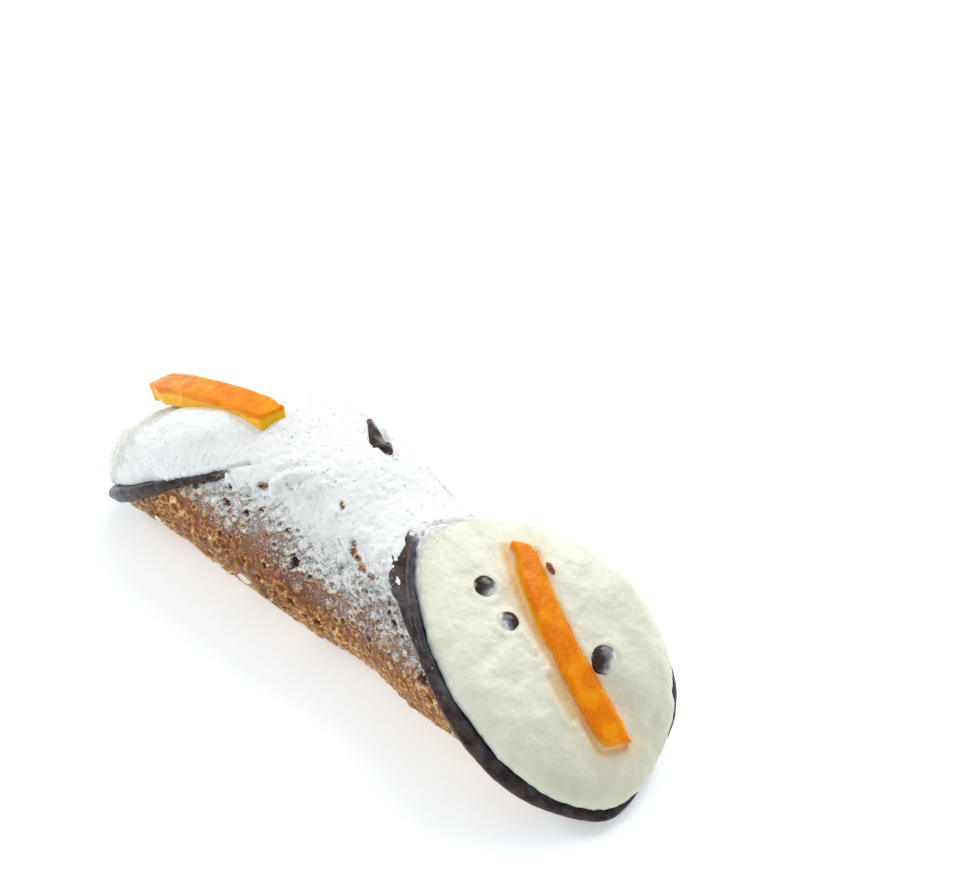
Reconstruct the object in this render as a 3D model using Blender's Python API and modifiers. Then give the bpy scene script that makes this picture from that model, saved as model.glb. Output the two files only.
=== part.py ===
"""One cannolo: a rolled shell of fried dough with both rims dipped in chocolate, filled with
ricotta cream, and a strip of candied orange peel laid on the cream at each end.

Metres, +Z up. The roll lies along X, and its wide front opening faces +X. Angles round the roll are
in degrees: 0 on top, 90 on the -Y side and 180 on the floor. The origin is the middle of the
underside of the whole cannolo's box.
"""
import math

import bmesh
import bpy
from mathutils import Vector

MM = 0.001
COLLECTION = "cannolo"
CUTTERS = "cutters"

# Roll of dough
ROLL_RADIUS = 22.2 * MM
WAIST_DEPTH = 3.0 * MM
WAIST_X = 15.0 * MM
WAIST_SPREAD = 16.5 * MM
DOUGH = 2.2 * MM
LIP = 0.6 * MM
SWELL = 0.35 * MM
SWELL_LENGTH = 9.0 * MM
SWELL_FADE = 14.0 * MM
FLAT = 0.6 * MM
END_LIFT = 2.45 * MM
LIFT_START = 26.0 * MM
LIFT_END = 58.0 * MM

# Lap: the leaf's free edge, one layer proud, which bends over the top
LAP = 1.1 * MM
LAP_FADE = 4
LAP_ANGLE = 47.0
LAP_FACE = 1.6
LAP_DIP = 20.0
LAP_DIP_X = -3.0 * MM
LAP_DIP_SPREAD = 10.0 * MM
LAP_HOLD = 8

# Chocolate coat on a rim, over the outside (share of the band, share of the coat)
COAT = 1.2 * MM
COAT_PROFILE = ((1.0, 0.0), (0.85, 0.8), (0.4, 1.0), (0.0, 1.0))
COAT_INNER_CAP = 0.7
GAP = 0.3 * MM
RIM_GAP = 0.45 * MM
BAND_WAVES = 4
BAND_WAVE_START = 25.0
TONGUE_SPREAD = 35.0

# Cream: its edge lies inside the coated rim, and spills over it on one side
CREAM_STEP = 2.5 * MM
SPILL = 5.5 * MM
SPILL_SPREAD = 50.0

# The two ends: the dough runs from a notch on top (top_x) to a tongue on the floor (tip_x)
FRONT = {
    "name": "front",
    "side": 1,
    "top_x": 16.5 * MM,
    "tip_x": 71.7 * MM,
    "notch_angle": 1.5,
    "notch_spread": (164.0, 142.0),
    "flare": 2.6 * MM,
    "flare_start": 39.0 * MM,
    "bend": 2.0 * MM,
    "bend_start": 16.0 * MM,
    "band": 2.8 * MM,
    "band_wave": 1.2 * MM,
    "tongue_band": 3.0 * MM,
    "tongue_cap": 4.5 * MM,
    "cream_rise": 7.0 * MM,
    "cream_roundness": 3.3,
    "spill_angle": -70.0,
}
BACK = {
    "name": "back",
    "side": -1,
    "top_x": -4.2 * MM,
    "tip_x": -65.4 * MM,
    "notch_angle": -24.0,
    "notch_spread": (180.0, 160.0),
    "flare": -1.0 * MM,
    "flare_start": 22.0 * MM,
    "bend": 4.0 * MM,
    "bend_start": 33.0 * MM,
    "band": 2.4 * MM,
    "band_wave": 0.8 * MM,
    "tongue_band": 2.0 * MM,
    "tongue_cap": 1.6 * MM,
    "cream_rise": 15.0 * MM,
    "cream_roundness": 2.8,
    "spill_angle": -115.0,
}
ENDS = (FRONT, BACK)

# Strips of peel: middle (down the slope of the opening, across it), heading, sideways bow, how far
# the lower end stands off the cream, and size
FRONT_PEEL = {
    "end": FRONT,
    "down": 0.4 * MM,
    "across": 3.6 * MM,
    "heading": -11.8,
    "bow": -2.9 * MM,
    "overhang": 0.0 * MM,
    "length": 45.0 * MM,
    "width": 6.6 * MM,
    "thickness": 3.8 * MM,
    "sunk": 2.3 * MM,
    "skew": 1.2 * MM,
}
BACK_PEEL = {
    "end": BACK,
    "down": -6.2 * MM,
    "across": -4.6 * MM,
    "heading": 3.5,
    "bow": 0.0 * MM,
    "overhang": 3.8 * MM,
    "length": 40.0 * MM,
    "width": 6.8 * MM,
    "thickness": 4.6 * MM,
    "sunk": 1.6 * MM,
    "skew": 0.8 * MM,
}
PEEL_CUTS = 9
PEEL_EDGE = 0.5 * MM
PEEL_EDGE_SEGMENTS = 2
DROP_HEIGHT = 40.0 * MM

# Grid sizes
ROUND = 64
OUTSIDE = 18
INSIDE = 6
DOME_RINGS = 6
RIM_STEPS = 6
WELD = 1e-6
SHARP_ANGLE = math.radians(40.0)

# Colours and roughness
FRIED_DOUGH = ((0.30, 0.12, 0.045, 1.0), 0.55)
CREAM = ((0.86, 0.83, 0.68, 1.0), 0.45)
CHOCOLATE = ((0.035, 0.022, 0.02, 1.0), 0.4)
ZEST = ((0.85, 0.24, 0.01, 1.0), 0.35)


def smooth(value, start, end):
    """0 before start, 1 after end, with a soft S between them."""
    t = min(max((value - start) / (end - start), 0.0), 1.0)
    return t * t * (3.0 - 2.0 * t)


def bell(value, middle, spread):
    """1 at the middle, falling to nothing a few spreads away."""
    return math.exp(-((value - middle) / spread) ** 2)


def turned(angle, start):
    """An angle counted from a start, between -180 and 180."""
    return (angle - start + 180.0) % 360.0 - 180.0


def towards(x, end, start):
    """0 up to an end's start value, rising to 1 at that end's tip."""
    return smooth(x * end["side"], end[start], abs(end["tip_x"]))


def roll_radius(x):
    """Radius of the roll: slimmer at its waist, flared at the front and drawn in at the back."""
    waist = WAIST_DEPTH * bell(x, WAIST_X, WAIST_SPREAD)
    flare = sum(end["flare"] * towards(x, end, "flare_start") for end in ENDS)
    return ROLL_RADIUS - waist + flare


def roll_height(x):
    """Height of the roll's middle line: it lies on the floor and lifts off at both ends."""
    lift = END_LIFT * smooth(abs(x), LIFT_START, LIFT_END)
    return roll_radius(x) + lift - FLAT


def roll_sideways(x):
    """Y of the roll's middle line, which bends to the -Y side towards both ends."""
    return -sum(end["bend"] * towards(x, end, "bend_start") for end in ENDS)


def around(x, angle, radius):
    """The point at an angle and radius round the middle line, kept above the floor."""
    theta = math.radians(angle)
    height = roll_height(x) + radius * math.cos(theta)
    return Vector((x, roll_sideways(x) - radius * math.sin(theta), max(height, 0.0)))


def leaf_angle(x, turn):
    """Angle of a line along the leaf, counted from its free edge (0) once round the roll (1)."""
    hold = (1.0 - turn) ** LAP_HOLD + turn ** LAP_HOLD
    dip = LAP_DIP * bell(x, LAP_DIP_X, LAP_DIP_SPREAD) * hold
    return LAP_ANGLE - dip - turn * (360.0 - LAP_FACE)


def leaf_radius(x, turn):
    """Outer radius of the leaf: one layer proud at its free edge, and gently uneven."""
    swell = math.sin(3.0 * math.tau * turn + x / SWELL_LENGTH) * math.sin(x / SWELL_FADE + 1.0)
    return roll_radius(x) + LAP * (1.0 - turn) ** LAP_FADE + SWELL * swell


def rim_x(end, angle):
    """Where the dough ends at an angle, from the notch on top to the tongue below."""
    offset = turned(angle, end["notch_angle"])
    spread = end["notch_spread"][0] if offset >= 0.0 else end["notch_spread"][1]
    return end["top_x"] + (end["tip_x"] - end["top_x"]) * smooth(abs(offset), 0.0, spread)


def rim_on_line(end, turn):
    """Where a line along the leaf meets the rim, and its angle there."""
    x = end["top_x"]
    for _ in range(RIM_STEPS):
        x = rim_x(end, leaf_angle(x, turn))
    return x, leaf_angle(x, turn)


def band_width(end, angle):
    """How far the chocolate reaches back from the rim, uneven as dipping leaves it."""
    wave = math.sin(math.radians(BAND_WAVES * (angle - BAND_WAVE_START)))
    tongue = bell(turned(angle, 180.0), 0.0, TONGUE_SPREAD)
    return end["band"] + end["band_wave"] * wave + end["tongue_band"] * tongue


def cap_width(end, angle):
    """How far the chocolate stands out from the dough's edge: it pooled under the tongue."""
    return COAT + end["tongue_cap"] * bell(turned(angle, 180.0), 0.0, TONGUE_SPREAD)


def station(turn, step, steps):
    """Position along the roll of one of the steps between the dough's two rounded lips."""
    start = rim_on_line(BACK, turn)[0] + LIP
    stop = rim_on_line(FRONT, turn)[0] - LIP
    return start + (stop - start) * step / steps


def inner_line(turn, depth):
    """Points along the inside of the roll, from back to front, at a depth below its radius."""
    stations = [station(turn, step, INSIDE) for step in range(INSIDE + 1)]
    return [around(x, leaf_angle(x, turn), roll_radius(x) - depth) for x in stations]


def lip_middle(end, turn):
    """The outermost point of a lip, half way through the dough."""
    x, angle = rim_on_line(end, turn)
    return around(x, angle, (leaf_radius(x, turn) + roll_radius(x) - DOUGH) / 2.0)


def shell_line(turn):
    """The dough's section along one line: outside to the front, lip, inside to the back, lip."""
    stations = [station(turn, step, OUTSIDE) for step in range(OUTSIDE + 1)]
    line = [around(x, leaf_angle(x, turn), leaf_radius(x, turn)) for x in stations]
    line.append(lip_middle(FRONT, turn))
    line += reversed(inner_line(turn, DOUGH))
    line.append(lip_middle(BACK, turn))
    return line


def coat_line(end, turn):
    """The coat's section: over the outside of the dough, round its lip and across its edge."""
    rim, angle = rim_on_line(end, turn)
    side = end["side"]
    line = []
    for back, out in COAT_PROFILE:
        x = rim - side * back * band_width(end, angle)
        line.append(around(x, leaf_angle(x, turn), leaf_radius(x, turn) + GAP + COAT * out))
    corner = rim + side * RIM_GAP
    cap = side * cap_width(end, angle)
    outer = leaf_radius(rim, turn)
    inner = roll_radius(rim) - DOUGH
    line.append(around(corner + cap, angle, outer))
    line.append(around(corner + cap * COAT_INNER_CAP, angle, inner))
    line.append(around(corner, angle, inner))
    line.append(around(corner, angle, outer + GAP))
    return line


def cream_radius(end, rim, angle):
    """Radius of the cream's edge: inside the chocolate, but spilled over it on one side."""
    spill = SPILL * bell(turned(angle, end["spill_angle"]), 0.0, SPILL_SPREAD)
    return roll_radius(rim) - CREAM_STEP + spill


def cream_neck(end, turn):
    """The cream where it comes out of the coated rim, and its edge above the coat."""
    rim, angle = rim_on_line(end, turn)
    neck = rim + end["side"] * (RIM_GAP + cap_width(end, angle) + RIM_GAP)
    radius = cream_radius(end, rim, angle)
    return [
        around(neck, angle, roll_radius(rim) - DOUGH - GAP),
        around(neck, angle, radius - LIP),
        around(neck + end["side"] * LIP, angle, radius),
    ]


def opening(end):
    """The opening's middle, its direction down the slope, and its outward direction."""
    edge = [cream_neck(end, step / ROUND)[-1] for step in range(ROUND)]
    middle = sum(edge, Vector()) / ROUND
    notch = around(end["top_x"], 0.0, roll_radius(end["top_x"]))
    tongue = around(end["tip_x"], 180.0, roll_radius(end["tip_x"]))
    down = (tongue - notch).normalized()
    outward = down.cross(Vector((0.0, 1.0, 0.0))) * end["side"]
    return middle, down, outward


def dome_line(end, turn):
    """The cream from the coated rim to the middle of its dome."""
    line = cream_neck(end, turn)
    edge = line.pop()
    middle, _, outward = opening(end)
    for ring in range(DOME_RINGS + 1):
        reach = math.cos(0.5 * math.pi * ring / DOME_RINGS)
        rise = math.sqrt(max(1.0 - reach ** end["cream_roundness"], 0.0))
        line.append(middle + (edge - middle) * reach + outward * end["cream_rise"] * rise)
    return line


def cream_line(turn):
    """The cream's section along one line, from the middle of the back dome to the front one."""
    back = list(reversed(dome_line(BACK, turn)))
    return back + inner_line(turn, DOUGH + GAP) + dome_line(FRONT, turn)


def add_object(name, mesh, look, collection):
    """An object in a collection, with a material of its own."""
    body = bpy.data.objects.new(name, mesh)
    bpy.data.collections[collection].objects.link(body)
    material = bpy.data.materials.new(name)
    material.use_nodes = True
    shader = material.node_tree.nodes["Principled BSDF"]
    shader.inputs["Base Color"].default_value = look[0]
    shader.inputs["Roughness"].default_value = look[1]
    body.data.materials.append(material)
    return body


def take_mesh(name, work):
    """A mesh from a finished bmesh, with its faces turned outwards."""
    bmesh.ops.recalc_face_normals(work, faces=work.faces)
    mesh = bpy.data.meshes.new(name)
    work.to_mesh(mesh)
    work.free()
    return mesh


def add_rolled(name, section_line, closed, look):
    """One closed body: a grid rolled round the middle line, with its meeting edges welded.

    section_line(turn) lists the points of the section. A closed section meets its own start, and
    an open one runs from pole to pole.
    """
    lines = [section_line(step / (ROUND - 1)) for step in range(ROUND)]
    points = len(lines[0])
    rings = points if closed else points - 1
    grid = bmesh.new()
    bmesh.ops.create_grid(grid, x_segments=rings, y_segments=ROUND, size=0.5)
    for vertex in grid.verts:
        ring = round((vertex.co.x + 0.5) * rings)
        turn = round((vertex.co.y + 0.5) * ROUND)
        vertex.co = lines[turn % ROUND][ring % points]
    bmesh.ops.remove_doubles(grid, verts=grid.verts, dist=WELD)
    mesh = take_mesh(name, grid)
    mesh.shade_smooth()
    mesh.set_sharp_from_angle(angle=SHARP_ANGLE)
    return add_object(name, mesh, look, COLLECTION)


def drop_on(cream, end, down, across):
    """The point of the cream's surface below a place over the opening."""
    middle, slope, outward = opening(end)
    start = middle + slope * down + Vector((0.0, across, 0.0)) + outward * DROP_HEIGHT
    hit, point, _, _ = cream.ray_cast(start, -outward)
    if not hit:
        raise ValueError("the peel reaches past the cream")
    return point


def peel_path(cream, peel):
    """Upper end, middle and lower end of a strip laid on the cream."""
    heading = math.radians(peel["heading"])
    points = []
    for reach, bow in ((-0.5, 0.0), (0.0, peel["bow"]), (0.5, 0.0)):
        down = peel["down"] + reach * peel["length"] * math.cos(heading)
        across = peel["across"] + reach * peel["length"] * math.sin(heading) + bow
        points.append(drop_on(cream, peel["end"], down, across))
    points[2] += opening(peel["end"])[2] * peel["overhang"]
    return points


def add_strip(name, path, peel, grow, collection):
    """A strip of peel: a cube stretched along its path, bent to it and rounded at its edges."""
    start, middle, end = path
    bend = middle * 4.0 - start * 2.0 - end * 2.0
    outward = opening(peel["end"])[2]
    bar = bmesh.new()
    bmesh.ops.create_cube(bar, size=1.0)
    long_edges = [edge for edge in bar.edges if edge.verts[0].co.x != edge.verts[1].co.x]
    bmesh.ops.subdivide_edges(bar, edges=long_edges, cuts=PEEL_CUTS, use_grid_fill=True)
    for vertex in bar.verts:
        skew = 4.0 * peel["skew"] * vertex.co.y * abs(vertex.co.x)
        t = 0.5 + (vertex.co.x * (peel["length"] + 2.0 * grow) + skew) / peel["length"]
        across = vertex.co.y * (peel["width"] + 2.0 * grow)
        up = vertex.co.z * (peel["thickness"] + 2.0 * grow) + peel["thickness"] / 2.0
        centre = start + (end - start) * t + bend * t * (1.0 - t)
        along = (end - start + bend * (1.0 - 2.0 * t)).normalized()
        sideways = outward.cross(along).normalized()
        vertex.co = centre + sideways * across + along.cross(sideways) * (up - peel["sunk"])
    strip = add_object(name, take_mesh(name, bar), ZEST, collection)
    edge = strip.modifiers.new("edge", "BEVEL")
    edge.width = PEEL_EDGE
    edge.segments = PEEL_EDGE_SEGMENTS
    return strip


def cut_bed(cream, path, peel):
    """A bed in the cream for a strip of peel, a gap wider than the strip."""
    name = "bed_" + peel["end"]["name"]
    cutter = add_strip(name, path, peel, GAP, CUTTERS)
    cutter.hide_render = True
    cutter.display_type = "WIRE"
    bed = cream.modifiers.new(name, "BOOLEAN")
    bed.operation = "DIFFERENCE"
    bed.solver = "EXACT"
    bed.object = cutter


def start_scene():
    """An empty scene, with one collection for the cannolo and one for its cutters."""
    for old in list(bpy.data.objects):
        bpy.data.objects.remove(old, do_unlink=True)
    for name in (COLLECTION, CUTTERS):
        bpy.context.scene.collection.children.link(bpy.data.collections.new(name))


def centre_on_origin():
    """Moves everything so that the middle of the box's underside is the origin."""
    bpy.context.view_layer.update()
    shapes = bpy.context.evaluated_depsgraph_get()
    corners = []
    for body in bpy.data.collections[COLLECTION].objects:
        corners += [Vector(corner) for corner in body.evaluated_get(shapes).bound_box]
    low = [min(corner[axis] for corner in corners) for axis in range(3)]
    high = [max(corner[axis] for corner in corners) for axis in range(3)]
    shift = Vector(((low[0] + high[0]) / 2.0, (low[1] + high[1]) / 2.0, low[2]))
    for body in bpy.data.objects:
        body.location -= shift
    bpy.context.view_layer.update()
    print("the roll's own origin is at", -shift)


def main():
    """Builds the shell, the cream, the two coats and the two strips of peel."""
    start_scene()
    add_rolled("shell", shell_line, True, FRIED_DOUGH)
    cream = add_rolled("filling", cream_line, False, CREAM)
    for end in ENDS:
        add_rolled("chocolate_" + end["name"], lambda turn: coat_line(end, turn), True, CHOCOLATE)
    bpy.context.view_layer.update()
    for peel in (FRONT_PEEL, BACK_PEEL):
        path = peel_path(cream, peel)
        add_strip("peel_" + peel["end"]["name"], path, peel, 0.0, COLLECTION)
        cut_bed(cream, path, peel)
    centre_on_origin()


main()
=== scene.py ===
# %% [markdown]
# # A Sicilian cannolo
# A cannolo is a disc of dough rolled round a tube and fried. It blisters as it fries, its rims are
# dipped in chocolate, and ricotta cream fills it from end to end. This lesson builds one in
# Blender. Every step says what the piece is on the real pastry, how it could be made, and why this
# way was chosen.
#
# The plain solids were made before, at their real size. They are loaded here as a fixed frame, and
# each detailed piece takes the place of one of them.

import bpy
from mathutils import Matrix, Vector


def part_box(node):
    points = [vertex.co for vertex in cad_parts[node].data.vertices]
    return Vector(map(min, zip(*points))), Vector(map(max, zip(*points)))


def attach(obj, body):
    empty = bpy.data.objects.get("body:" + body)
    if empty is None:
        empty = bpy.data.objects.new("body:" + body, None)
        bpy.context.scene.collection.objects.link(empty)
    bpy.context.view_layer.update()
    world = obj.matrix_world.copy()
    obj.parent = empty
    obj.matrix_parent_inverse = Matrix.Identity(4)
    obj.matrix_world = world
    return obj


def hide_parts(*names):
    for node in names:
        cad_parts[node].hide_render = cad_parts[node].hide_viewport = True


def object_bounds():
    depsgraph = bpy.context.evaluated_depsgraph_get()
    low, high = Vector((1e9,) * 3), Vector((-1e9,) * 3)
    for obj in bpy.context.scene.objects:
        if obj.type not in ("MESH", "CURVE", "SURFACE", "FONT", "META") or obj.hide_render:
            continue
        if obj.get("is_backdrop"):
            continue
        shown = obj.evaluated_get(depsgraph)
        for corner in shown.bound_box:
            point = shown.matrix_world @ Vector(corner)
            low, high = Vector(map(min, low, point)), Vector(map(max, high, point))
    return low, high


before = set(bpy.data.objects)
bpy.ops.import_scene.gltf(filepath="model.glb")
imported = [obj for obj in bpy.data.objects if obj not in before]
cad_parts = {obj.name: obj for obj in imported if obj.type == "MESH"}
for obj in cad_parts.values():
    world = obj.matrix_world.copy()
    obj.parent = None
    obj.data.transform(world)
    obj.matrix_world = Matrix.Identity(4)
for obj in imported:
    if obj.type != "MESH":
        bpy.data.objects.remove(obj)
cad_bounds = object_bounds()
print("solids in the frame:", ", ".join(sorted(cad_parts)))

# %% Blender's modules and the unit
import math

import bmesh
import bpy
import numpy as np
from mathutils import Vector, kdtree, noise
from mathutils.bvhtree import BVHTree

MM = 0.001
chance = np.random.default_rng(5)
print("box of the solids in mm:", [tuple(round(v / MM, 1) for v in corner) for corner in cad_bounds])

# %% [markdown]
# ## The shape that everything follows
# The roll, its slanted rims, the chocolate and the cream all follow one another, so they share one
# description. A place on the roll is given by x along it and an angle round it, in degrees: 0 on
# top, 90 on the near side, 180 on the floor. It could be read off the solids by casting rays, but
# formulas are finer than any mesh. numpy runs them on whole grids of points at once.

# %% Soft steps and bumps
def smooth(value, start, end):
    """0 before start, 1 after end, with a soft S between them."""
    t = np.clip((value - start) / (end - start), 0.0, 1.0)
    return t * t * (3.0 - 2.0 * t)


def bell(value, middle, spread):
    """1 at the middle, falling to nothing a few spreads away."""
    return np.exp(-((value - middle) / spread) ** 2)


def turned(angle, start):
    """An angle counted from a start, between -180 and 180."""
    return (angle - start + 180.0) % 360.0 - 180.0


def lobe(angle, at, spread):
    """1 at an angle round the roll, falling to nothing a few spreads to either side."""
    return bell(turned(angle, at), 0.0, spread)


def mixed(first, second, share):
    """first where share is 0, second where it is 1."""
    return first + (second - first) * share


# %% Sizes of the roll
ROLL_RADIUS, DOUGH, LIP = 22.2 * MM, 2.2 * MM, 0.6 * MM
WAIST_DEPTH, WAIST_X, WAIST_SPREAD = 3.0 * MM, 15.0 * MM, 16.5 * MM
SWELL, SWELL_LENGTH, SWELL_FADE = 0.35 * MM, 9.0 * MM, 14.0 * MM
FLAT, END_LIFT, LIFT_START, LIFT_END = 0.6 * MM, 2.45 * MM, 26.0 * MM, 58.0 * MM
# The free edge of the dough: how proud it lies, at which angle, and where it dips.
LAP, LAP_FADE, LAP_ANGLE, LAP_FACE = 1.1 * MM, 4, 47.0, 1.6
LAP_DIP, LAP_DIP_X, LAP_DIP_SPREAD, LAP_HOLD = 20.0, -3.0 * MM, 10.0 * MM, 8
# The chocolate and the cream's edge.
COAT, RIM_GAP = 1.2 * MM, 0.45 * MM
LONGER_ANGLE, LONGER_SPREAD = 56.0, 42.0
TONGUE_SPREAD, BAND_WAVES, BAND_WAVE_START = 35.0, 4.0, 25.0
FAR_CAP_ANGLE, FAR_SPREAD = -105.0, 24.0
CREAM_STEP, SPILL, SPILL_SPREAD = 2.5 * MM, 5.5 * MM, 50.0

# %% The two ends: the rim, the roll towards it, the chocolate, and the cream
# A drip is how much further the chocolate reaches in mm, at which angle, and how far that spreads.
FRONT = {
    "side": 1, "top_x": 16.5 * MM, "tip_x": 71.7 * MM, "near_longer": 1.9 * MM,
    "notch_angle": 1.5, "notch_spread": (164.0, 142.0),
    "flare": 2.6 * MM, "flare_start": 39.0 * MM, "bend": 2.0 * MM, "bend_start": 16.0 * MM,
    "band": 2.8 * MM, "band_wave": 1.2 * MM, "tongue_band": 3.0 * MM, "tongue_cap": 4.5 * MM,
    "far_cap": 1.1 * MM, "pool": 1.6 * MM, "scraped": 0.0, "bare_from": 3.0, "specks": 0.16,
    "drips": (
        (2.3, 29.0, 16.0), (1.0, 98.0, 13.0), (1.0, 50.0, 11.0), (-1.1, 128.0, 18.0), (-2.6, 72.0, 16.0),
    ),
    "cream_rise": 7.0 * MM, "cream_roundness": 3.3, "spill_angle": -70.0,
    "hug_angle": 20.0, "hug_spread": 72.0, "hollow": 2.1 * MM,
}
BACK = {
    "side": -1, "top_x": -4.2 * MM, "tip_x": -65.4 * MM, "near_longer": 0.0,
    "notch_angle": -24.0, "notch_spread": (180.0, 160.0),
    "flare": -1.0 * MM, "flare_start": 22.0 * MM, "bend": 4.0 * MM, "bend_start": 33.0 * MM,
    "band": 2.4 * MM, "band_wave": 0.8 * MM, "tongue_band": 2.0 * MM, "tongue_cap": 1.6 * MM,
    "far_cap": 0.0, "pool": 0.0, "scraped": 0.9, "bare_from": 40.0, "specks": 0.0,
    "drips": ((2.2, 104.0, 20.0), (-1.9, 50.0, 24.0)),
    "cream_rise": 15.0 * MM, "cream_roundness": 2.55, "spill_angle": -115.0,
    "hug_angle": 75.0, "hug_spread": 45.0, "hollow": 0.0,
}
ENDS = (FRONT, BACK)
print("the front opening slants over", round((FRONT["tip_x"] - FRONT["top_x"]) / MM, 1), "mm")


# %% The roll's radius, its middle line and the way to a point on it
roll_at = np.zeros(3)


def towards(x, end, start):
    """0 up to an end's start value, rising to 1 at that end's tip."""
    return smooth(x * end["side"], end[start], abs(end["tip_x"]))


def roll_radius(x):
    """Radius of the roll: slimmer at its waist, flared at the front, drawn in at the back."""
    flare = sum(end["flare"] * towards(x, end, "flare_start") for end in ENDS)
    return ROLL_RADIUS - WAIST_DEPTH * bell(x, WAIST_X, WAIST_SPREAD) + flare


def middle_line(x):
    """Points of the roll's middle line: it lifts off the floor and bends aside at both ends."""
    aside = -sum(end["bend"] * towards(x, end, "bend_start") for end in ENDS)
    height = roll_radius(x) + END_LIFT * smooth(abs(x), LIFT_START, LIFT_END) - FLAT
    return np.stack(np.broadcast_arrays(x, aside, height), axis=-1)


def around(x, angle, radius):
    """Points at an angle and radius round the middle line, kept above the floor."""
    x, angle, radius = np.broadcast_arrays(x, angle, radius)
    theta = np.radians(angle)
    points = middle_line(x)
    points[..., 1] -= radius * np.sin(theta)
    points[..., 2] = np.maximum(points[..., 2] + radius * np.cos(theta), 0.0)
    return points + roll_at


# %% The leaf of dough and where its rims are
def leaf_angle(x, turn):
    """Angle of a line along the leaf, from its free edge (0) once round the roll (1)."""
    hold = (1.0 - turn) ** LAP_HOLD + turn ** LAP_HOLD
    dip = LAP_DIP * bell(x, LAP_DIP_X, LAP_DIP_SPREAD) * hold
    return LAP_ANGLE - dip - turn * (360.0 - LAP_FACE)


def leaf_radius(x, turn):
    """Outer radius of the leaf: one layer proud at its free edge, and gently uneven."""
    swell = np.sin(3.0 * math.tau * turn + x / SWELL_LENGTH) * np.sin(x / SWELL_FADE + 1.0)
    return roll_radius(x) + LAP * (1.0 - turn) ** LAP_FADE + SWELL * swell


def rim_x(end, angle):
    """Where the dough ends at an angle, from the notch on top to the tongue below."""
    offset = turned(angle, end["notch_angle"])
    spread = np.where(offset >= 0.0, *end["notch_spread"])
    longer = end["near_longer"] * lobe(angle, LONGER_ANGLE, LONGER_SPREAD)
    return end["top_x"] + (end["tip_x"] - end["top_x"]) * smooth(abs(offset), 0.0, spread) + longer


def from_rims(x, angle):
    """Distance along the roll to the nearer rim."""
    return np.minimum(rim_x(FRONT, angle) - x, x - rim_x(BACK, angle))


def rim_on_line(end, turn):
    """Where a line along the leaf meets the rim, and its angle there."""
    x = end["top_x"]
    for _ in range(6):
        x = rim_x(end, leaf_angle(x, turn))
    return x, leaf_angle(x, turn)


# %% The chocolate's and the cream's edges
def band_width(end, angle):
    """How far the chocolate reaches back from the rim."""
    wave = end["band_wave"] * np.sin(np.radians(BAND_WAVES * (angle - BAND_WAVE_START)))
    return end["band"] + wave + end["tongue_band"] * lobe(angle, 180.0, TONGUE_SPREAD)


def cap_width(end, angle):
    """How far the chocolate stands out from the dough's edge."""
    tongue_cap = end["tongue_cap"] * lobe(angle, 180.0, TONGUE_SPREAD)
    return COAT + tongue_cap + end["far_cap"] * lobe(angle, FAR_CAP_ANGLE, FAR_SPREAD)


def cream_radius(end, rim, angle):
    """Radius of the cream's edge: inside the chocolate, but spilled over it on one side."""
    return roll_radius(rim) - CREAM_STEP + SPILL * lobe(angle, end["spill_angle"], SPILL_SPREAD)


# %% [markdown]
# ## Turning a grid of points into a piece
# All the rolled pieces are grids: one direction goes round the roll, the other along it. A grid
# could be drawn with a modifier stack, but here each point is computed, so the mesh is made
# straight from the array. Extra facts about each point, such as how much sugar lies there, are
# kept on the mesh as attributes, which the materials read.

# %% Grids, attributes and normals
def grid_faces(rows, columns, close_rows, close_columns):
    """Four-sided faces of a grid, which may close on itself either way."""
    index = np.arange(rows * columns).reshape(rows, columns)
    if close_rows:
        index = np.vstack([index, index[:1]])
    if close_columns:
        index = np.hstack([index, index[:, :1]])
    corners = (index[:-1, :-1], index[:-1, 1:], index[1:, 1:], index[1:, :-1])
    return np.stack(corners, axis=-1).reshape(-1, 4)


def make_mesh(name, points, faces):
    """A mesh with smooth shading."""
    mesh = bpy.data.meshes.new(name)
    mesh.from_pydata(points.reshape(-1, 3).tolist(), [], faces.tolist())
    mesh.shade_smooth()
    return mesh


def note(mesh, name, values):
    """Keeps one number for each point of a mesh, for the materials."""
    layer = mesh.attributes.new(name, "FLOAT", "POINT")
    layer.data.foreach_set("value", np.ascontiguousarray(values, dtype=np.float32).ravel())


def read_points(mesh):
    """All points of a mesh, and their normals."""
    points = np.zeros(len(mesh.vertices) * 3)
    normals = np.zeros(len(mesh.vertices) * 3)
    mesh.vertices.foreach_get("co", points)
    mesh.vertex_normals.foreach_get("vector", normals)
    return points.reshape(-1, 3), normals.reshape(-1, 3)


def write_points(mesh, points):
    """Moves all points of a mesh, and keeps them above the floor."""
    points = points.copy()
    points[:, 2] = np.maximum(points[:, 2], 0.0)
    mesh.vertices.foreach_set("co", points.ravel())
    mesh.update()


def clean(mesh):
    """Joins points that lie on each other, drops those that no face uses, and turns faces out."""
    work = bmesh.new()
    work.from_mesh(mesh)
    bmesh.ops.remove_doubles(work, verts=work.verts, dist=0.001 * MM)
    unused = [vertex for vertex in work.verts if not vertex.link_faces]
    bmesh.ops.delete(work, geom=unused, context="VERTS")
    bmesh.ops.recalc_face_normals(work, faces=work.faces)
    work.to_mesh(mesh)
    work.free()


# %% Placing a finished piece
def put(name, data):
    """A new object in the scene."""
    made = bpy.data.objects.new(name, data)
    bpy.context.scene.collection.objects.link(made)
    return made


def place(name, mesh, material, slot, *stands_for):
    """Puts a piece in the scene: it rides on the frame and hides the solids it stands for."""
    piece = put(name, mesh)
    mesh.materials.clear()
    mesh.materials.append(material)
    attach(piece, "root")
    if stands_for:
        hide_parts(*stands_for)
    mesh.calc_loop_triangles()
    print(name, "has", len(mesh.loop_triangles), "triangles")
    return piece


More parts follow.
